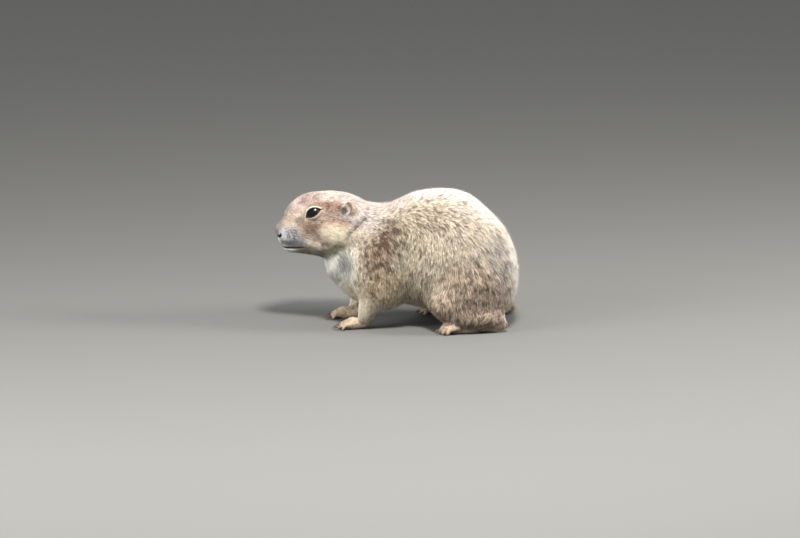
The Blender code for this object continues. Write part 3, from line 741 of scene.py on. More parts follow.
# The nose is laid out by how far a place lies round its side and how far above its middle.
NOSE_MIDDLE = middle_of("nose")
NOSE_TURN = (0.64, 0.77)
NOSE_PAD = (7.2 * MM, 4.8 * MM)
NOSE_PAD_DROP = 1.2 * MM
NOSTRIL = np.array(((3.6, -4.3), (6.4, -4.4), (8.7, -3.3), (9.3, -2.5))) * MM
NOSE_RUN = (8.5 * MM, 6.5 * MM)

# Forms of the head over the plain solid: place, reach and rise in millimetres.
HEAD_FORMS = (
    ((-93, 0, 99), 6, 0.6), ((-98.5, 0, 92.5), 4.5, -0.7), ((-101.5, 0, 83.5), 5, 1.3),
    ((-98.5, 0, 72.5), 4.5, 0.9), ((-56, 22.5, 108), 9, -2.2), ((-77.5, 17.5, 108), 7, -1.5),
    ((-94, 7.5, 74), 5, 1), ((-85, 13, 81), 4, -0.5), ((-89.5, 10.5, 90), 5.5, -1.6),
    ((-85, 13, 98.5), 5, -1), ((-69, 20, 106), 3.5, 0.4), ((-57, 19.5, 100.5), 4.5, -0.6),
    ((-64, 22, 87), 7, 0.8), ((-52, 24, 76), 8, 0.8),
)

# Folds of the coat on the flanks, each a run of places ahead and up, and how far out they begin.
NECK_FOLD = metres(((-26.2, 95.5), (-32.5, 88.8), (-38.5, 82.3), (-41.2, 78.6)))
RUMP_FOLD = metres(((89.5, 76.5), (94, 64), (96.8, 48), (96.5, 34)))
FOLD_OUT = 0.016
FOLD_EDGE = 4 * MM


def from_fold(points, line):
    """Distance of each point on the flanks from a fold, as seen from the side."""
    outward = np.abs(points[:, 1] - MIDLINE)
    inner = 1 - smoothstep(FOLD_OUT - FOLD_EDGE, FOLD_OUT + FOLD_EDGE, outward)
    return from_line(points[:, (0, 2)], line) + 8 * MM * inner


def from_mouth(points):
    """Height above the line of the mouth, how strongly it shows there, and half the lips' gap."""
    ahead, across = MOUTH_CENTRE_X - points[:, 0], points[:, 1] - MIDLINE
    turn, reach = np.abs(np.arctan2(across, ahead)), np.hypot(ahead, across)
    line = MOUTH_HEIGHT + MOUTH_RISE * np.minimum(turn / MOUTH_CORNER, 1) ** 2 + LIP_PEAK * bell(turn, 0.20)
    height = points[:, 2] - line
    ends = smoothstep(MOUTH_CORNER - 0.22, MOUTH_CORNER + 0.06, turn)
    shown = (1 - ends) * smoothstep(0.004, 0.006, reach) * (np.abs(height) < 0.012)
    return height, shown, MM * (0.92 - 0.40 * smoothstep(0.9, 1.5, turn))


def round_nose(points):
    """How far each place lies round the nose's side, and how far above its middle."""
    places = folded(points)
    ahead = places[:, 0] - NOSE_TIP
    return ahead * NOSE_TURN[0] + places[:, 1] * NOSE_TURN[1], places[:, 2] - NOSE_MIDDLE.z


def on_nose(points):
    return smoothstep(NOSE_TIP + NOSE_RUN[0], NOSE_TIP + NOSE_RUN[1], points[:, 0])


def from_nostril(points):
    """Distance from the nearer nostril, a comma whose tail turns up, and half its width."""
    side, upward = round_nose(points)
    width = MM * (0.85 + 0.50 * smoothstep(4.0 * MM, 7.5 * MM, side))
    return from_line(np.stack([side, upward], axis=1), NOSTRIL), width


def bare_nose(points):
    """The share of bare skin on the pad of the nose and the groove under it."""
    side, upward = round_nose(points)
    round_pad = np.hypot(side / NOSE_PAD[0], (upward + NOSE_PAD_DROP) / NOSE_PAD[1])
    pad = 1 - smoothstep(0.85, 1.10, round_pad)
    groove = bell(points[:, 1] - MIDLINE, 0.5 * MM) * smoothstep(-12.0 * MM, -10.5 * MM, upward)
    return np.maximum(pad, groove * (upward < 0)) * on_nose(points)


def near_features(points):
    found = lengths(points - np.array([NOSE_TIP, MIDLINE, NOSE_MIDDLE.z])) < 10 * MM
    height, shown, _ = from_mouth(points)
    found |= (np.abs(height) < 2.6 * MM) & (shown > 0)
    for _, _, gap, reach in round_eyes(points):
        found |= (gap < 3.2 * MM) & (reach < 12 * MM)
    return found


def near_openings(points):
    found = (from_nostril(points)[0] < 1.9 * MM) & (on_nose(points) > 0)
    height, shown, _ = from_mouth(points)
    found |= (np.abs(height) < 0.9 * MM) & (shown > 0)
    for _, _, gap, reach in round_eyes(points):
        found |= (np.abs(gap) < 0.8 * MM) & (reach < EYE_REACH)
    return found


def triangulated(work):
    bmesh.ops.triangulate(work, faces=[face for face in work.faces if len(face.verts) > 3])


def refine(mesh, near):
    """Splits the faces whose middle is near to something worth the detail."""
    with edited(mesh) as work:
        chosen = near(np.array([face.calc_center_median() for face in work.faces]))
        faces = [face for face, wanted in zip(work.faces, chosen) if wanted]
        edges = list(dict.fromkeys(edge for face in faces for edge in face.edges))
        bmesh.ops.subdivide_edges(work, edges=edges, cuts=1, use_grid_fill=True)
        triangulated(work)


def shape_lids(points):
    """Lids that lie on the eyeball, with an almond opening and a fold above it."""
    for eye in EYE_FRAMES.values():
        a, b, c = eye.local(points)
        gap = from_opening(a, b)
        step = 0.02 * MM
        slope_a = (from_opening(a + step, b) - gap) / step
        slope_b = (from_opening(a, b + step) - gap) / step
        steep = np.maximum(slope_a**2 + slope_b**2, 1e-3)
        snap = (np.abs(gap) < 0.20 * MM) & (c > 0)
        move_a = np.where(snap, -gap * slope_a / steep, 0)
        move_b = np.where(snap, -gap * slope_b / steep, 0)
        points = points + move_a[:, None] * eye.along + move_b[:, None] * eye.up
        a, b, c = eye.local(points)
        gap = from_opening(a, b)
        apart = points - eye.centre
        inside = smoothstep(0.0, 0.55 * MM, -gap)
        lid = BALL_RADIUS + LID_THICKNESS * (1 - inside) - 1.3 * MM * inside
        lid += 0.22 * MM * bell(gap - 0.5 * MM, 0.45 * MM)
        lid -= 0.40 * MM * bell(gap - 1.9 * MM, 0.5 * MM) * smoothstep(0, 2 * MM, b)
        hold = (1 - smoothstep(1.4 * MM, 3.4 * MM, gap)) * (c > 0)
        target = eye.centre + apart / lengths(apart)[:, None] * lid[:, None]
        points = points + (target - points) * hold[:, None]
    return points


def shape_muzzle(points, normals):
    """The lips and the line between them, the nostrils and the groove under the nose."""
    height, shown, gap = from_mouth(points)
    out = 0.38 * MM * bell(height - 1.2 * MM, 0.9 * MM) * shown
    out += 0.20 * MM * bell(height + 1.1 * MM, 0.8 * MM) * shown
    out -= 1.5 * MM * bell(height, gap) * shown
    front = on_nose(points)
    slit, width = from_nostril(points)
    out += 0.30 * MM * bell(slit - 1.8 * MM, 0.60 * MM) * front * bare_nose(points)
    out -= 1.7 * MM * bell(slit, 0.68 * width) * front
    under = (points[:, 2] < NOSE_MIDDLE.z - 0.5 * MM) & (height > 0)
    out -= 0.55 * MM * bell(points[:, 1] - MIDLINE, 0.45 * MM) * front * under
    return points + normals * out[:, None]


def shape_folds(points, normals):
    out = -1.2 * MM * bell(from_fold(points, NECK_FOLD), 2.2 * MM)
    out -= 1.0 * MM * bell(from_fold(points, RUMP_FOLD), 2.0 * MM)
    places = folded(points)
    for middle, reach, rise in HEAD_FORMS:
        out += rise * MM * bell(lengths(places - metres(middle)), reach * MM)
    return points + normals * out[:, None]


def toe_tips(kind, side):
    """Where each claw grows: the end of its toe, the way it points, its length, the toe's radius."""
    heel, heading, length, width, toes, claw, steps = FEET[kind]
    heel = mirrored((heel[0] - steps[side], heel[1], 0), side)
    turned = math.radians(heading) * side
    ahead = Vector((-math.cos(turned), math.sin(turned), 0))
    across = (Vector((0, side, 0)) - ahead * ahead.y * side).normalized()
    radius = width * 0.145
    for share, toe, fan in toes:
        spread = turned + math.radians(fan) * side
        way = Vector((-math.cos(spread), math.sin(spread), 0))
        tip = heel + ahead * length * 0.80 + across * width * share + way * toe
        tip.z = radius * 0.85
        yield tip, way, claw, radius


def take_off_claws(mesh):
    """Rounds each toe of the skin where its claw grows, for the claws are pieces of their own."""
    with edited(mesh) as work:
        work.verts.ensure_lookup_table()
        points = np.array([vert.co for vert in work.verts])
        doomed = np.zeros(len(points), bool)
        for kind in FEET:
            for _, side in SIDES:
                for tip, way, claw, radius in toe_tips(kind, side):
                    apart = points - np.array(tip)
                    ahead = apart @ np.array(way)
                    aside = lengths(apart - ahead[:, None] * np.array(way))
                    doomed |= (ahead > radius * 0.72) & (ahead < claw * 1.2) & (aside < radius * 1.1)
        gone = [work.verts[i] for i in np.nonzero(doomed)[0]]
        bmesh.ops.delete(work, geom=gone, context="VERTS")
        loose = [vert for vert in work.verts if not vert.link_faces]
        bmesh.ops.delete(work, geom=loose, context="VERTS")
        bmesh.ops.holes_fill(work, edges=[edge for edge in work.edges if edge.is_boundary], sides=0)
        triangulated(work)


def sculpt(mesh):
    """Works the folds, lids, lips and nostrils into the skin."""
    set_points(mesh, shape_folds(points_of(mesh), normals_of(mesh)))
    for near in (near_features, near_openings):
        refine(mesh, near)
        set_points(mesh, shape_lids(points_of(mesh)))
    set_points(mesh, shape_muzzle(points_of(mesh), normals_of(mesh)))


# Markings, with painted shade and light

SAND = srgb(220, 204, 184)
PALE_TIP = srgb(246, 240, 226)
TAIL_COLOUR = srgb(166, 136, 106)
TAIL_BLACK = srgb(46, 38, 34)
# Painted shade along the folds of the neck and the rump.
FOLD_SHADE_COLOUR = srgb(92, 74, 62)
EYE_RING = srgb(228, 216, 196)
# Dark bare skin of the lids and lips; along the mouth it also stands for painted shade in the groove
# between the lips.
DARK_SKIN_AND_MOUTH_SHADE = srgb(40, 32, 32)
NOSE_COLOUR = srgb(98, 90, 88)
# Painted shade inside the nostrils.
NOSTRIL_SHADE = srgb(14, 11, 11)
EAR_COLOUR = srgb(158, 138, 122)
WHISKER_SPOT = srgb(58, 52, 50)

# Patches of the coat, mostly its markings and some of them painted shade and painted light, each said
# below:
# middle, reach each way, colour as screen values, strength, and the share of hairs that are dark there.
PATCHES_AND_PAINTED_LIGHT = (
    ((30, 0, 117), (75, 26, 14), (214, 204, 196), 0.7, 0.22),
    ((78, 6, 100), (24, 26, 18), (210, 198, 188), 0.75, 0.14),
    ((-18, 0, 106), (32, 24, 14), (176, 159, 152), 0.75, 0.14),
    ((-30, 30, 97), (19, 20, 12), (204, 192, 188), 0.75, 0.12),
    # Painted shade: the underside of the belly darkened.
    ((10, 0, 6), (70, 36, 20), (126, 112, 92), 0.9, 0.12),
    ((23, 36, 92), (25, 24, 14), (198, 178, 152), 0.6, 0.32),
    ((-4, 43, 79), (12, 32, 13), (132, 98, 75), 0.88, 0.66),
    ((-15, 44, 64), (14, 32, 15), (158, 126, 98), 0.78, 0.6),
    ((12, 50, 73), (17, 26, 24), (190, 176, 150), 0.75, 0.28),
    ((40, 53, 60), (24, 26, 22), (244, 226, 200), 0.8, 0.18),
    ((-6, 45, 37), (24, 24, 15), (210, 184, 144), 0.75, 0.26),
    ((24, 50, 34), (24, 24, 14), (236, 220, 192), 0.7, 0.3),
    # The lower haunch: its own browner tone, darkened further by painted shade on its lower side.
    ((65, 52, 30), (34, 30, 28), (196, 170, 148), 0.8, 0.38),
    # Painted shade in the hollow under the belly, in front of the hind leg.
    ((34, 46, 20), (16, 22, 10), (142, 120, 94), 0.5, 0.44),
    ((88, 32, 54), (14, 18, 29), (172, 167, 164), 0.55, 0.3),
    # Painted highlight: a pale rim of light on the rump's rear edge.
    ((104, 10, 66), (10, 34, 44), (246, 240, 228), 0.6, 0.1),
    ((-56, 0, 42), (20, 26, 34), (246, 244, 236), 0.95, 0.02),
    ((-42, 24, 50), (13, 14, 20), (212, 214, 208), 0.8, 0.04),
    # Painted shade on the throat under the jaw.
    ((-42.5, 23, 56.5), (7, 16, 8.5), (122, 121, 118), 0.72, 0.14),
    ((-53, 0, 115), (28, 18, 12), (188, 172, 166), 0.8, 0.14),
    ((-78, 4, 106), (18, 15, 13), (176, 154, 148), 0.8, 0.28),
    ((-72, 13, 108), (12, 12, 4), (138, 108, 102), 0.55, 0.36),
    ((-94, 0, 94), (12, 11, 12), (124, 114, 110), 0.85, 0.34),
    ((-60, 22, 90), (22, 14, 18), (138, 110, 98), 0.75, 0.36),
    ((-69, 19, 85.5), (9, 10, 5.5), (126, 96, 82), 0.8, 0.28),
    ((-88, 12, 89.5), (8.5, 9, 6.5), (172, 152, 134), 0.85, 0.2),
    ((-79.7, 13, 90.3), (4, 7, 4.5), (110, 88, 74), 0.7, 0.2),
    ((-99.5, 3, 85.5), (5.5, 9, 6), (122, 114, 112), 0.9, 0.08),
    ((-48, 23, 81.5), (16, 13, 8.5), (234, 222, 194), 0.8, 0.05),
    ((-50, 22, 90), (9, 12, 3), (186, 148, 130), 0.55, 0.1),
    ((-54.5, 18, 105), (10, 10, 3.6), (142, 100, 80), 0.8, 0.3),
    ((-90, 10, 76.5), (13, 10, 9), (154, 155, 160), 0.9, 0.1),
    # The upper lip's bluish grey band: partly its own grey, partly painted shade under the lip's overhang.
    ((-88, 9, 71.2), (15, 12, 4.2), (106, 113, 119), 0.76, 0.08),
    # The front of the upper lip: its own pale fur, brightened by a painted highlight.
    ((-99, 0, 73), (4.5, 6, 4.5), (228, 228, 224), 0.85, 0.02),
    # The chin: its own pale fur, with a painted greenish reflection.
    ((-92, 0, 63), (11, 12, 4.5), (190, 198, 186), 0.85, 0.02),
    # Painted shade under the jaw, with a greenish tint of painted reflection.
    ((-69, 14, 64.5), (18, 14, 5.5), (70, 72, 56), 0.86, 0.22),
    # The jowl: its own tone, darkened with painted shade under the cheek and tinted green as painted
    # reflection.
    ((-50, 18, 69), (13, 12, 5.5), (176, 172, 140), 0.7, 0.26),
    # Painted shadow behind the ear.
    ((-36.2, 25, 100.5), (2.6, 7, 2.6), (96, 72, 58), 0.75, 0.45),
    ((-36, 28, 20), (16, 20, 20), (252, 238, 210), 0.92, 0.08),
    ((-45, 24, 3), (24, 18, 10), (172, 150, 126), 0.9, 0.26),
    ((70, 46, 2), (34, 22, 10), (156, 134, 112), 0.8, 0.3),
    ((36, 46, 2), (24, 22, 10), (174, 152, 128), 0.9, 0.26),
)
PATCH_SOFTNESS = 0.42
PATCH_EDGE = (1 - PATCH_SOFTNESS, 1 + PATCH_SOFTNESS)
MARKING_DRIFT = 2.2 * MM
PLAIN_DARK_SHARE = 0.25
# The pale front of each ear, painted shade in its cup, a painted shadow line along its upper rim, and its
# edge in front.
EAR_MARKS_AND_SHADES = (
    ((-44.6, 24, 105.5), (3.4, 6, 4.2), (244, 226, 208)),
    ((-44.2, 22.5, 101.5), (3.2, 6, 3.6), (38, 28, 24)),
    ((-44, 21.5, 109.6), (6, 6, 1.3), (112, 84, 68)),
    ((-47.8, 22.5, 104), (1.8, 6, 4), (120, 90, 72)),
)
EAR_MARK_EDGE = (0.7, 1.2)
# The painted shade in each fold: its line, width and strength.
FOLD_SHADES = ((NECK_FOLD, 1.6 * MM, 0.75), (RUMP_FOLD, 1.4 * MM, 0.28))
TAIL_TIP_PLACE = np.array((0.0738, 0.0555, 0.007))
TAIL_TIP_AHEAD = np.array((-0.862, 0.507, 0.0))
WHISKER_ROWS = 4
WHISKERS_IN_ROW = 5
# Without a seed of its own, Blender's vector noise is another one in each run.
NOISE_SEED = 1


def drift(points, scale, seed):
    """Smooth random moves for each point, a few millimetres across."""
    noise.seed_set(NOISE_SEED)
    offset = Vector((seed, seed * 0.7, -seed))
    return np.array([noise.noise_vector(Vector(p) * scale + offset) for p in points])


def patch_share(places, middle, reach, edge):
    """How far each place lies in a patch: 1 up to the first share of its reach, 0 from the second."""
    return 1 - smoothstep(*edge, lengths((places - metres(middle)) / metres(reach)))


def markings_and_painted_light(points, regions):
    """The coat's colour, painted shade and light included, and its share of dark hairs at each point, for
    skin and tufts alike.
    """
    moved = points + MARKING_DRIFT * drift(points, 130, 3.0)
    places, unmoved = folded(moved), folded(points)
    colour = np.tile(SAND, (len(points), 1))
    dark = np.full(len(points), PLAIN_DARK_SHARE)
    for middle, reach, patch_colour, strength, dark_share in PATCHES_AND_PAINTED_LIGHT:
        share = strength * patch_share(places, middle, reach, PATCH_EDGE)
        colour = lerp(colour, srgb(*patch_colour), share)
        dark += (dark_share - dark) * share
    broken = np.clip(0.75 + 1.2 * drift(points, 300, 9.0)[:, 0], 0.15, 1.2)
    # Painted shade along each fold, broken here and there, with more dark hairs.
    for line, width, strength in FOLD_SHADES:
        share = strength * bell(from_fold(moved, line), width) * broken
        colour = lerp(colour, FOLD_SHADE_COLOUR, share)
        dark += (0.5 - dark) * share
    tail, ear = regions["tail"], regions["ear"]
    colour = lerp(colour, TAIL_COLOUR, tail * 0.9)
    dark += (0.42 - dark) * tail
    tip_share = smoothstep(-0.004, 0.006, (moved - TAIL_TIP_PLACE) @ TAIL_TIP_AHEAD) * tail
    colour = lerp(colour, TAIL_BLACK, tip_share)
    colour = lerp(colour, EAR_COLOUR, ear * 0.95)
    dark += (0.34 - dark) * ear * 0.8
    # The ear's own marks, with painted shade in the cup and along the upper rim.
    for middle, reach, mark in EAR_MARKS_AND_SHADES:
        colour = lerp(colour, srgb(*mark), 0.9 * patch_share(unmoved, middle, reach, EAR_MARK_EDGE))
    for a, b, gap, reach in round_eyes(points):
        ring = (1 - smoothstep(0.8 * MM, 1.9 * MM, gap)) * (reach < 12 * MM)
        under = smoothstep(1.5 * MM, -1.5 * MM, b + 0.35 * a)
        colour = lerp(colour, EYE_RING, ring * (0.85 - 0.50 * under))
        dark *= 1 - ring
    spots = whisker_spots(points)
    return lerp(colour, WHISKER_SPOT, spots), dark * (1 - spots)


def whisker_place(row, k):
    """Where a whisker grows on the pad beside the nose: how far ahead, and how high."""
    astray, aloft = 0.55 * math.sin(7 * row + 3 * k), 0.45 * math.cos(5 * row + 4 * k)
    ahead = 9.0 + 2.3 * k + 0.5 * row + astray
    return NOSE_TIP + ahead * MM, NOSE_MIDDLE.z + (2.8 - 2.2 * row - 0.30 * k + aloft) * MM


def whisker_spots(points):
    """The small dark spots that the whiskers grow from."""
    share = np.zeros(len(points))
    for spot in np.ndindex(WHISKER_ROWS, WHISKERS_IN_ROW):
        x, z = whisker_place(*spot)
        share = np.maximum(share, bell(np.hypot(points[:, 0] - x, points[:, 2] - z), 0.68 * MM))
    return 0.90 * share * smoothstep(3 * MM, 5 * MM, np.abs(points[:, 1] - MIDLINE))


def skin_colours(points, regions):
    """The skin's colour: the coat's with painted shade between the hairs, in the nostrils and along the
    mouth, and bare at nose, lips and lids.
    """
    colour, _ = markings_and_painted_light(points, regions)
    # Painted shade between the hairs: the skin under the coat is darker, less so where the coat is fine.
    colour *= (0.50 + 0.34 * fine_share(regions, head=0.75))[:, None]
    bare = bare_nose(points)
    colour = lerp(colour, NOSE_COLOUR, bare)
    # Painted shade inside each nostril, darker and wider than its carved slit.
    slit, width = from_nostril(points)
    hole = bell(slit, width) * on_nose(points)
    colour = lerp(colour, NOSTRIL_SHADE, np.clip(hole * 1.5, 0, 1))
    # The mouth's line: dark lip skin, widened with painted shade in the groove between the lips.
    height, shown, gap = from_mouth(points)
    lips = bell(height, gap * 1.15) * shown
    colour = lerp(colour, DARK_SKIN_AND_MOUTH_SHADE, np.clip(lips * 1.4, 0, 1))
    bare = np.maximum(bare, lips)
    for a, b, gap, reach in round_eyes(points):
        margin = np.maximum(1 - smoothstep(0.35 * MM, 0.75 * MM, gap), canthus(a, b)) * (reach < 9 * MM)
        colour = lerp(colour, DARK_SKIN_AND_MOUTH_SHADE, margin)
        bare = np.maximum(bare, margin)
    return colour, bare


# Eyes, lid margins, claws and whiskers

MARGIN_RADIUS = 0.38 * MM
MARGIN_LIFT = 0.30 * MM


def turned_out(mesh):
    """Makes every face of the mesh look outward."""
    with edited(mesh) as work:
        bmesh.ops.recalc_face_normals(work, faces=work.faces)


def make_eye(name, side, material):
    """A ball set in the socket where the solid has it."""
    eye = EYE_FRAMES[side]
    mesh = bpy.data.meshes.new("eyeball_" + name)
    with edited(mesh) as work:
        bmesh.ops.create_uvsphere(work, u_segments=72, v_segments=48, radius=BALL_RADIUS)
    points = points_of(mesh)
    facing = np.clip(points[:, 2] / BALL_RADIUS, -1, 1)
    turn = np.stack([eye.along, eye.up, eye.out])
    if np.linalg.det(turn) < 0:
        points[:, 0] *= -1
    set_points(mesh, points @ turn + eye.centre)
    turned_out(mesh)
    add_attribute(mesh, "from_pupil", "FLOAT", np.arccos(facing) / (math.pi / 2))
    ball = finished(link("eyeball_" + name, mesh), material, "eye")
    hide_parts("eye_" + name)


def tube(points, radii, sides, closed=False):
    """Vertices and faces of a round tube along places, with its share of the way for each vertex."""
    points = np.asarray(points, float)
    count = len(points)
    heads = np.gradient(points, axis=0)
    if closed:
        heads = np.roll(points, -1, axis=0) - np.roll(points, 1, axis=0)
    heads = unit(heads)
    side = unit(np.cross(heads, [0.0, 0.02, 1.0]))
    up = np.cross(side, heads)
    verts, faces = [], []
    for i, k in np.ndindex(count, sides):
        angle = 2 * math.pi * k / sides
        verts.append(tuple(points[i] + (side[i] * math.cos(angle) + up[i] * math.sin(angle)) * radii[i]))
    for i, k in np.ndindex(count if closed else count - 1, sides):
        j, m = (i + 1) % count, (k + 1) % sides
        faces.append((i * sides + k, i * sides + m, j * sides + m, j * sides + k))
    if not closed:
        faces.append(tuple(reversed(range(sides))))
        faces.append(tuple(range((count - 1) * sides, count * sides)))
    return verts, faces, np.repeat(np.arange(count) / (count - 1), sides)


def joined_tubes(name, tubes, material, slot):
    """One piece out of several tubes."""
    verts, faces = [], []
    for places, sides, _ in tubes:
        faces += [tuple(len(verts) + i for i in face) for face in sides]
        verts += places
    mesh = bpy.data.meshes.new(name)
    mesh.from_pydata(verts, [], faces)
    turned_out(mesh)
    add_attribute(mesh, "along", "FLOAT", np.concatenate([along for _, _, along in tubes]))
    finished(link(name, mesh), material, slot)


def make_lid_margin(name, side, material):
    """The dark, moist edge of the lids, a fine rim round the opening."""
    eye = EYE_FRAMES[side]
    line = []
    for angle in np.linspace(0, 2 * math.pi, 96, endpoint=False):
        a, b = opening_edge(angle)
        depth = math.sqrt(max(BALL_RADIUS**2 - a * a - b * b, 0))
        way = unit(eye.along * a + eye.up * b + eye.out * depth)
        line.append(eye.centre + way * (BALL_RADIUS + MARGIN_LIFT))
    rim = tube(line, [MARGIN_RADIUS] * len(line), 8, closed=True)
    joined_tubes("lid_margin_" + name, [rim], material, "nose")


def make_claws(kind, name, side, material):
    """Curved claws, thick at the root and sharp, each growing out of its toe."""
    tubes = []
    for tip, way, claw, radius in toe_tips(kind, side):
        start = tip - way * radius * 0.3 + Vector((0, 0, radius * 0.10))
        line, radii = [], []
        for share in np.linspace(0, 1, 9):
            ahead = share * (claw + radius * 0.3)
            arch = math.sin(share * math.pi * 0.62) * claw * 0.20
            drop = share**2.2 * (start.z + claw * 0.188 - 0.0006)
            line.append(start + way * ahead + Vector((0, 0, arch - drop)))
            radii.append(radius * (0.50 * (1 - share) ** 0.75 + 0.035))
        tubes.append(tube(line, radii, 10))
    joined_tubes("claws_%s_%s" % (kind, name), tubes, material, "paw")


def make_whiskers(name, side, tree, material):
    """Stiff, dark whiskers in rows on the pad beside the nose, which sweep back and out."""
    draw = np.random.default_rng(40 + side)
    sag = Vector((0.42, 0, -0.20))
    tubes = []
    for row, k in np.ndindex(WHISKER_ROWS, WHISKERS_IN_ROW):
        x, z = whisker_place(row, k)
        place, normal, _, _ = tree.ray_cast(Vector((x, MIDLINE + side * 0.06, z)), Vector((0, -side, 0)))
        if place is None:
            continue
        length = (13 + 4.2 * k + 1.5 * (WHISKER_ROWS - row)) * MM * draw.uniform(0.85, 1.12)
        way = (normal + Vector((0.40 + 0.22 * k, 0, 0.10 - 0.14 * row))).normalized()
        way = (way + Vector(draw.normal(0, 0.06, 3))).normalized()
        line, radii = [], []
        for share in np.linspace(0, 1, 9):
            line.append(place - normal * 0.3 * MM + way * length * share + sag * length * share**2)
            radii.append(MM * (0.085 * (1 - share) + 0.012))
        tubes.append(tube(line, radii, 4))
    joined_tubes("whiskers_" + name, tubes, material, "coat_head")


# The coat of solid tufts

PATCH_SIZE = 0.003
UNWRAP_FACES = 9000
CURVE_BITS = 10
THINNED = 1.0
SWAY = math.radians(11)
CLUMP_EVERY = 5
MOST_DARK = 0.66
STRAY_SHARE = 0.06
STRAY_RISE = 1.6
FLOOR_CLEARANCE = 0.25 * MM
SOLE_HEIGHT = 0.9 * MM
FACE_SPLIT = -0.066
TRUNK_BANDS = (-0.030, -0.008, 0.014, 0.036, 0.058, 0.080)


def tuft_form(faces, spots, levels):
    """A closed, three-sided spike: its faces, its spots on its patch, and the level of each corner."""
    return SimpleNamespace(
        loops=np.concatenate(faces), sizes=np.array([len(face) for face in faces]),
        spots=np.array(spots) - 0.5, levels=np.array(levels),
    )


BENT = tuft_form(
    ((0, 2, 1), (0, 1, 4, 3), (1, 2, 5, 4), (2, 0, 3, 5), (3, 4, 6), (4, 5, 6), (5, 3, 6)),
    ((0, 0), (1, 0), (0.5, 0), (0, 0.5), (1, 0.5), (0.5, 0.5), (0.5, 1)), (0, 0, 0, 1, 1, 1, 2),
)
STRAIGHT = tuft_form(
    ((0, 2, 1), (0, 1, 3), (1, 2, 3), (2, 0, 3)), ((0, 0), (1, 0), (0.5, 0), (0.5, 1)), (0, 0, 0, 2),
)

# Each layer's share of the density on body and head, its lift over the skin, its width, its pull to
# clumps, its share of pale tips and how dark it is. Guard hairs are straight everywhere.
FUR = SimpleNamespace(
    prefix="coat", seed=7, share=0.94, head_share=1.27, lift=(0.55, 1.15), width=1.03, pull=0.46,
    pale=0.34, dark=1.0, body_form=BENT,
)
GUARD = SimpleNamespace(
    prefix="guard", seed=11, share=0.62, head_share=0.0, lift=(1.0, 2.2), width=0.72, pull=0.30,
    pale=0.55, dark=1.7, body_form=STRAIGHT,
)


def along_a_curve(places):
    """An order that keeps near places together, so that roots drawn in turn spread evenly."""
    low, high = places.min(axis=0), places.max(axis=0)
    cells = ((places - low) / (high - low).max() * (2**CURVE_BITS - 1)).astype(np.int64)
    code = np.zeros(len(places), dtype=np.int64)
    for bit, axis in np.ndindex(CURVE_BITS, 3):
        code |= ((cells[:, axis] >> bit) & 1) << (3 * bit + axis)
    return np.argsort(code)


def scatter(points, corners, density, draw):
    """Roots spread over the skin by its density: the triangle of each and its place in it."""
    a, b, c = (points[corners[:, k]] for k in range(3))
    wanted = lengths(np.cross(b - a, c - a)) / 2 * density[corners].mean(axis=1)
    order = along_a_curve((a + b + c) / 3)
    reach = np.cumsum(wanted[order])
    count = int(reach[-1])
    at = (np.arange(count) + draw.uniform(0, 1, count)) / count * reach[-1]
    chosen = order[np.searchsorted(reach, at).clip(0, len(order) - 1)]
    u, v = draw.uniform(0, 1, (2, count))
    over = u + v > 1
    u[over], v[over] = 1 - u[over], 1 - v[over]
    return chosen, np.stack([1 - u - v, u, v], axis=1)


def blended(picked, shares):
    """One value for each place out of those at the three corners round it."""
    return (picked * shares.reshape(shares.shape + (1,) * (picked.ndim - 2))).sum(axis=1)


def bake_map(skin):
    """An unwrap of the skin's own shape: for each place, its spot on a flat sheet."""
    low = link("unwrap", skin.data.copy())
    low.data.materials.clear()
    modified(low, "DECIMATE", ratio=UNWRAP_FACES / len(low.data.polygons))
    bpy.ops.object.select_all(action="DESELECT")
    low.select_set(True)
    bpy.context.view_layer.objects.active = low
    bpy.ops.object.mode_set(mode="EDIT")
    bpy.ops.mesh.select_all(action="SELECT")
    bpy.ops.uv.smart_project(angle_limit=math.radians(66), island_margin=0.004)
    bpy.ops.object.mode_set(mode="OBJECT")
    mesh = low.data
    places, corners = points_of(mesh), triangles_of(mesh)
    loops = rows_of(mesh.loop_triangles, "loops", 3, np.int64)
    flat = rows_of(mesh.uv_layers.active.data, "uv", 2)[loops]
    tree = tree_of(places, corners)

    def find(roots):
        hits = [tree.find_nearest(Vector(root)) for root in roots]
        on, faces = np.array([hit[0] for hit in hits]), np.array([hit[2] for hit in hits])
        a, b, c = (places[corners[faces, k]] for k in range(3))
        across = np.cross(b - a, c - a)
        whole = np.maximum((across * across).sum(axis=1), 1e-20)
        v = (np.cross(b - a, on - a) * across).sum(axis=1) / whole
        u = (np.cross(on - a, c - a) * across).sum(axis=1) / whole
        return blended(flat[faces], np.stack([1 - u - v, u, v], axis=1))

    bpy.data.objects.remove(low)
    return find


def growth(points, regions):
    """No hair on the nose, in the mouth, in the eyes or under the soles."""
    share = 1 - smoothstep(0.3, 0.7, bare_nose(points))
    slit, width = from_nostril(points)
    share *= np.where(on_nose(points) > 0, smoothstep(0.9, 1.5, slit / width), 1)
    height, shown, _ = from_mouth(points)
    share *= 1 - shown * (1 - smoothstep(0.45 * MM, 0.8 * MM, np.abs(height)))
    for _, _, gap, reach in round_eyes(points):
        share *= np.where(reach < 12 * MM, smoothstep(0.45 * MM, 0.85 * MM, gap), 1)
    return np.where((regions["paw"] > 0.4) & (points[:, 2] < SOLE_HEIGHT), 0.0, share)


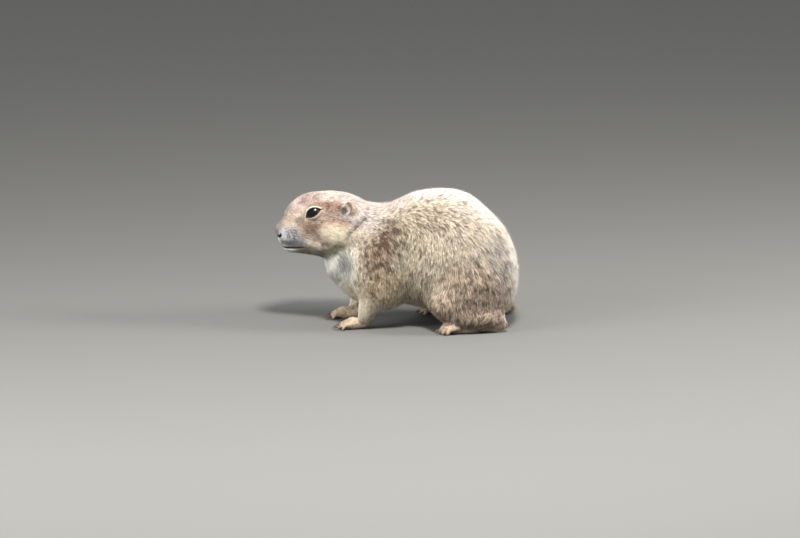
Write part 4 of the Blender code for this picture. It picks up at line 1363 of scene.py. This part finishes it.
def short_by_features(points):
    """How much shorter hairs are close to the eyes, nose and mouth."""
    share = np.ones(len(points))
    for _, _, gap, reach in round_eyes(points):
        share *= np.where(reach < 14 * MM, 0.32 + 0.68 * smoothstep(0.5 * MM, 4.5 * MM, gap), 1)
    height, shown, _ = from_mouth(points)
    share *= 1 - 0.5 * shown * (1 - smoothstep(0.6 * MM, 2.5 * MM, np.abs(height)))
    return share * (1 - 0.5 * bell(lengths(points - np.array(NOSE_MIDDLE)), 5 * MM))


def held_over(tree, places, height):
    """The places set at their height over the skin, and never under the floor."""
    made = np.empty_like(places)
    for i, place in enumerate(places):
        on, way, _, _ = tree.find_nearest(Vector(place))
        made[i] = on + way * height[i]
    made[:, 2] = np.maximum(made[:, 2], FLOOR_CLEARANCE)
    return made


class Coat:
    """Every tuft of one layer of the coat, worked out together and then split into pieces."""

    def __init__(self, mesh, tree, fields, regions, layer):
        self.layer = layer
        draw = np.random.default_rng(layer.seed)
        points, corners = points_of(mesh), triangles_of(mesh)
        body_to_head = layer.share + (layer.head_share - layer.share) * fine_share(regions)
        density = fields.density * growth(points, regions) * body_to_head * THINNED
        chosen, shares = scatter(points, corners, density, draw)

        def pick(values):
            return blended(values[corners[chosen]], shares)

        self.root, self.normal = pick(points), unit(pick(normals_of(mesh)))
        self.depth = pick(fields.depth)
        self.regions = {kind: pick(share) for kind, share in regions.items()}
        count = len(self.root)
        lie, sway = laid_flat(pick(fields.lie), self.normal), draw.normal(0, SWAY, count)
        lie = lie * np.cos(sway)[:, None] + np.cross(self.normal, lie) * np.sin(sway)[:, None]
        shorter = short_by_features(self.root)
        length = pick(fields.length) * draw.uniform(0.60, 1.08, count) * shorter
        rise = self.depth * draw.uniform(*layer.lift, count) * (0.4 + 0.6 * shorter)
        rise *= np.where(draw.uniform(0, 1, count) < STRAY_SHARE, STRAY_RISE, 1.0)
        rise = np.minimum(rise, 0.6 * length)
        width = pick(fields.width) * draw.uniform(0.75, 1.2, count) * (0.55 + 0.45 * shorter)
        self.width = width * layer.width / math.sqrt(THINNED)
        ahead = np.sqrt(length**2 - rise**2)
        tip = self.clumped(self.root + lie * ahead[:, None], draw)
        self.middle = held_over(tree, self.root + lie * (ahead * 0.46)[:, None], rise * 0.62)
        self.tip = held_over(tree, tip, rise)
        self.tone(draw)

    def clumped(self, tip, draw):
        """Draws the tips of neighbouring hairs together, so that they part into tufts."""
        count = len(tip)
        centres = draw.permutation(count)[: count // CLUMP_EVERY]
        tree = KDTree(len(centres))
        for n, index in enumerate(centres):
            tree.insert(self.root[index], n)
        tree.balance()
        self.clump = np.array([tree.find(root)[1] for root in self.root])
        members = np.maximum(np.bincount(self.clump, minlength=len(centres)), 1)
        sums = [np.bincount(self.clump, column, len(centres)) for column in tip.T]
        means = np.stack([total / members for total in sums], axis=1)
        pull = self.layer.pull * draw.uniform(0.5, 1.3, count)
        return tip + (means[self.clump] - tip) * pull[:, None]

    def tone(self, draw):
        """Each tuft's colour at root, middle and tip."""
        colour, dark_share = markings_and_painted_light(self.root + 0.6 * (self.tip - self.root), self.regions)
        count, clumps = len(self.root), self.clump.max() + 1
        patchy = np.array([noise.noise(Vector(root) * 210) for root in self.root])
        streaky = np.array([noise.noise(Vector(root) * 480) for root in self.root])
        near = fine_share(self.regions)
        clump_tone = 1 + draw.normal(0, 0.23, clumps)[self.clump] * (1 + 0.4 * near)
        clump_tone += streaky * (0.12 + 0.45 * near + 0.5 * (self.regions["paw"] + self.regions["ear"]))
        lot = draw.uniform(0, 1, count)
        clump_lot = draw.uniform(0, 1, clumps)[self.clump]
        share = np.minimum(dark_share * self.layer.dark, MOST_DARK) * (1.0 + 1.2 * patchy)
        dark = (0.25 * lot + 0.75 * clump_lot) < share
        pale = ~dark & (draw.uniform(0, 1, count) < self.layer.pale - 0.3 * patchy)
        level = draw.normal(1, 0.18, count) * clump_tone
        colour = colour * np.clip(level, 0.55, 1.5)[:, None]
        # Darker roots: partly the hair's own dark base, partly painted shade deep in the coat.
        root, middle, tip = colour * (0.52 + 0.12 * near)[:, None], colour.copy(), colour * 1.15
        middle[dark] *= 0.36
        tip[dark] *= 0.20
        share = np.where(pale, draw.uniform(0.35, 0.85, count), 0.0) * (1 - 0.4 * self.regions["head"])
        share *= 1 - smoothstep(0.2, 0.6, self.regions["tail"])
        colours = np.stack([root, middle, lerp(tip, PALE_TIP, share)], axis=1)
        self.colours = colours * np.minimum(1, 0.93 / colours.max(axis=2, keepdims=True))
        self.width = self.width * np.where(dark, 1.3, 1.0)

    def parts(self):
        """Names each part of the coat, and gives its tufts, their form and its slot."""
        side = np.where(self.root[:, 1] < MIDLINE, 0, 1)
        head = (self.regions["head"] + self.regions["ear"]) > 0.5
        tail = self.regions["tail"] > 0.5
        paw = (self.regions["paw"] > 0.5) & ~tail
        front = self.root[:, 0] < FACE_SPLIT
        for n, (name, _) in enumerate(SIDES):
            yield "face_" + name, head & front & (side == n), STRAIGHT, "coat_head"
            yield "crown_" + name, head & ~front & (side == n), STRAIGHT, "coat_head"
            yield "paws_" + name, paw & (side == n), STRAIGHT, "paw"
        yield "tail", tail, self.layer.body_form, "coat_tail"
        band = np.searchsorted(np.array(TRUNK_BANDS), self.root[:, 0])
        trunk = ~(head | tail | paw)
        for k, n in np.ndindex(len(TRUNK_BANDS) + 1, len(SIDES)):
            members = trunk & (band == k) & (side == n)
            yield "trunk_%d_%s" % (k, SIDES[n][0]), members, self.layer.body_form, "coat_body"

    def piece(self, name, members, form, flat, material, slot):
        """The tufts of one part of the body as one mesh of spikes of one form."""
        root, middle, tip = self.root[members], self.middle[members], self.tip[members]
        normal, half = self.normal[members], (self.width[members] / 2)[:, None]
        side, ridge = unit(np.cross(normal, tip - root)) * half, normal * half
        sunk = root - normal * (0.25 * self.depth[members] + 0.1 * MM)[:, None]
        corners = [sunk - side, sunk + side, sunk + ridge]
        if form is BENT:
            corners += [middle - side * 0.85, middle + side * 0.85, middle + ridge * 0.85]
        verts = np.stack(corners + [tip], axis=1)
        verts[..., 2] = np.maximum(verts[..., 2], FLOOR_CLEARANCE)
        count, own = verts.shape[:2]
        loops = (np.arange(count)[:, None] * own + form.loops).ravel()
        sizes = np.tile(form.sizes, count)
        mesh = bpy.data.meshes.new(name)
        mesh.vertices.add(count * own)
        mesh.vertices.foreach_set("co", verts.astype(np.float32).ravel())
        mesh.loops.add(len(loops))
        mesh.loops.foreach_set("vertex_index", loops.astype(np.int32))
        mesh.polygons.add(len(sizes))
        mesh.polygons.foreach_set("loop_start", (np.cumsum(sizes) - sizes).astype(np.int32))
        mesh.update(calc_edges=True)
        colours = self.colours[members][:, form.levels].reshape(-1, 3)
        add_attribute(mesh, "coat_colour", "FLOAT_COLOR", colours)
        add_attribute(mesh, "skin_normal", "FLOAT_VECTOR", np.repeat(normal, own, axis=0))
        spots = np.clip(flat[members][:, None] + form.spots * PATCH_SIZE, 0.001, 0.999)
        sheet = mesh.uv_layers.new(name="OFBake")
        sheet.data.foreach_set("uv", spots.reshape(-1, 2)[loops].astype(np.float32).ravel())
        finished(link(name, mesh), material, slot)


make_camera()
make_studio()
find_node = node_finder()
skin = make_skin(find_node)
take_off_claws(skin.data)
sculpt(skin.data)
points, normals = points_of(skin.data), normals_of(skin.data)
regions = region_shares(points, find_node(points), Relaxer(skin.data))
colour, bare = skin_colours(points, regions)
add_attribute(skin.data, "coat_colour", "FLOAT_COLOR", np.clip(colour, 0, 1))
add_attribute(skin.data, "bare", "FLOAT", bare)
finished(skin, skin_material(), "coat_body")
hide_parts(*FLESH)

skin_tree = tree_of(points, triangles_of(skin.data))
wet = eye_material()
lid_margin = horn_material("lid_margin", srgb(24, 18, 17), srgb(24, 18, 17), 0.35)
horn = horn_material("claw_horn", srgb(46, 38, 34), srgb(96, 84, 74), 0.38)
whisker = horn_material("whisker", srgb(30, 25, 23), srgb(70, 60, 54), 0.45)
for name, side in SIDES:
    make_eye(name, side, wet)
    make_lid_margin(name, side, lid_margin)
    make_whiskers(name, side, skin_tree, whisker)
    for kind in FEET:
        make_claws(kind, name, side, horn)

fields = CoatFields(points, normals, regions)
spot_of = bake_map(skin)
fur = coat_material()
for layer in (FUR, GUARD):
    coat = Coat(skin.data, skin_tree, fields, regions, layer)
    flat = spot_of(coat.root)
    for name, members, form, slot in coat.parts():
        if members.any():
            coat.piece("%s_%s" % (layer.prefix, name), members, form, flat, fur, slot)
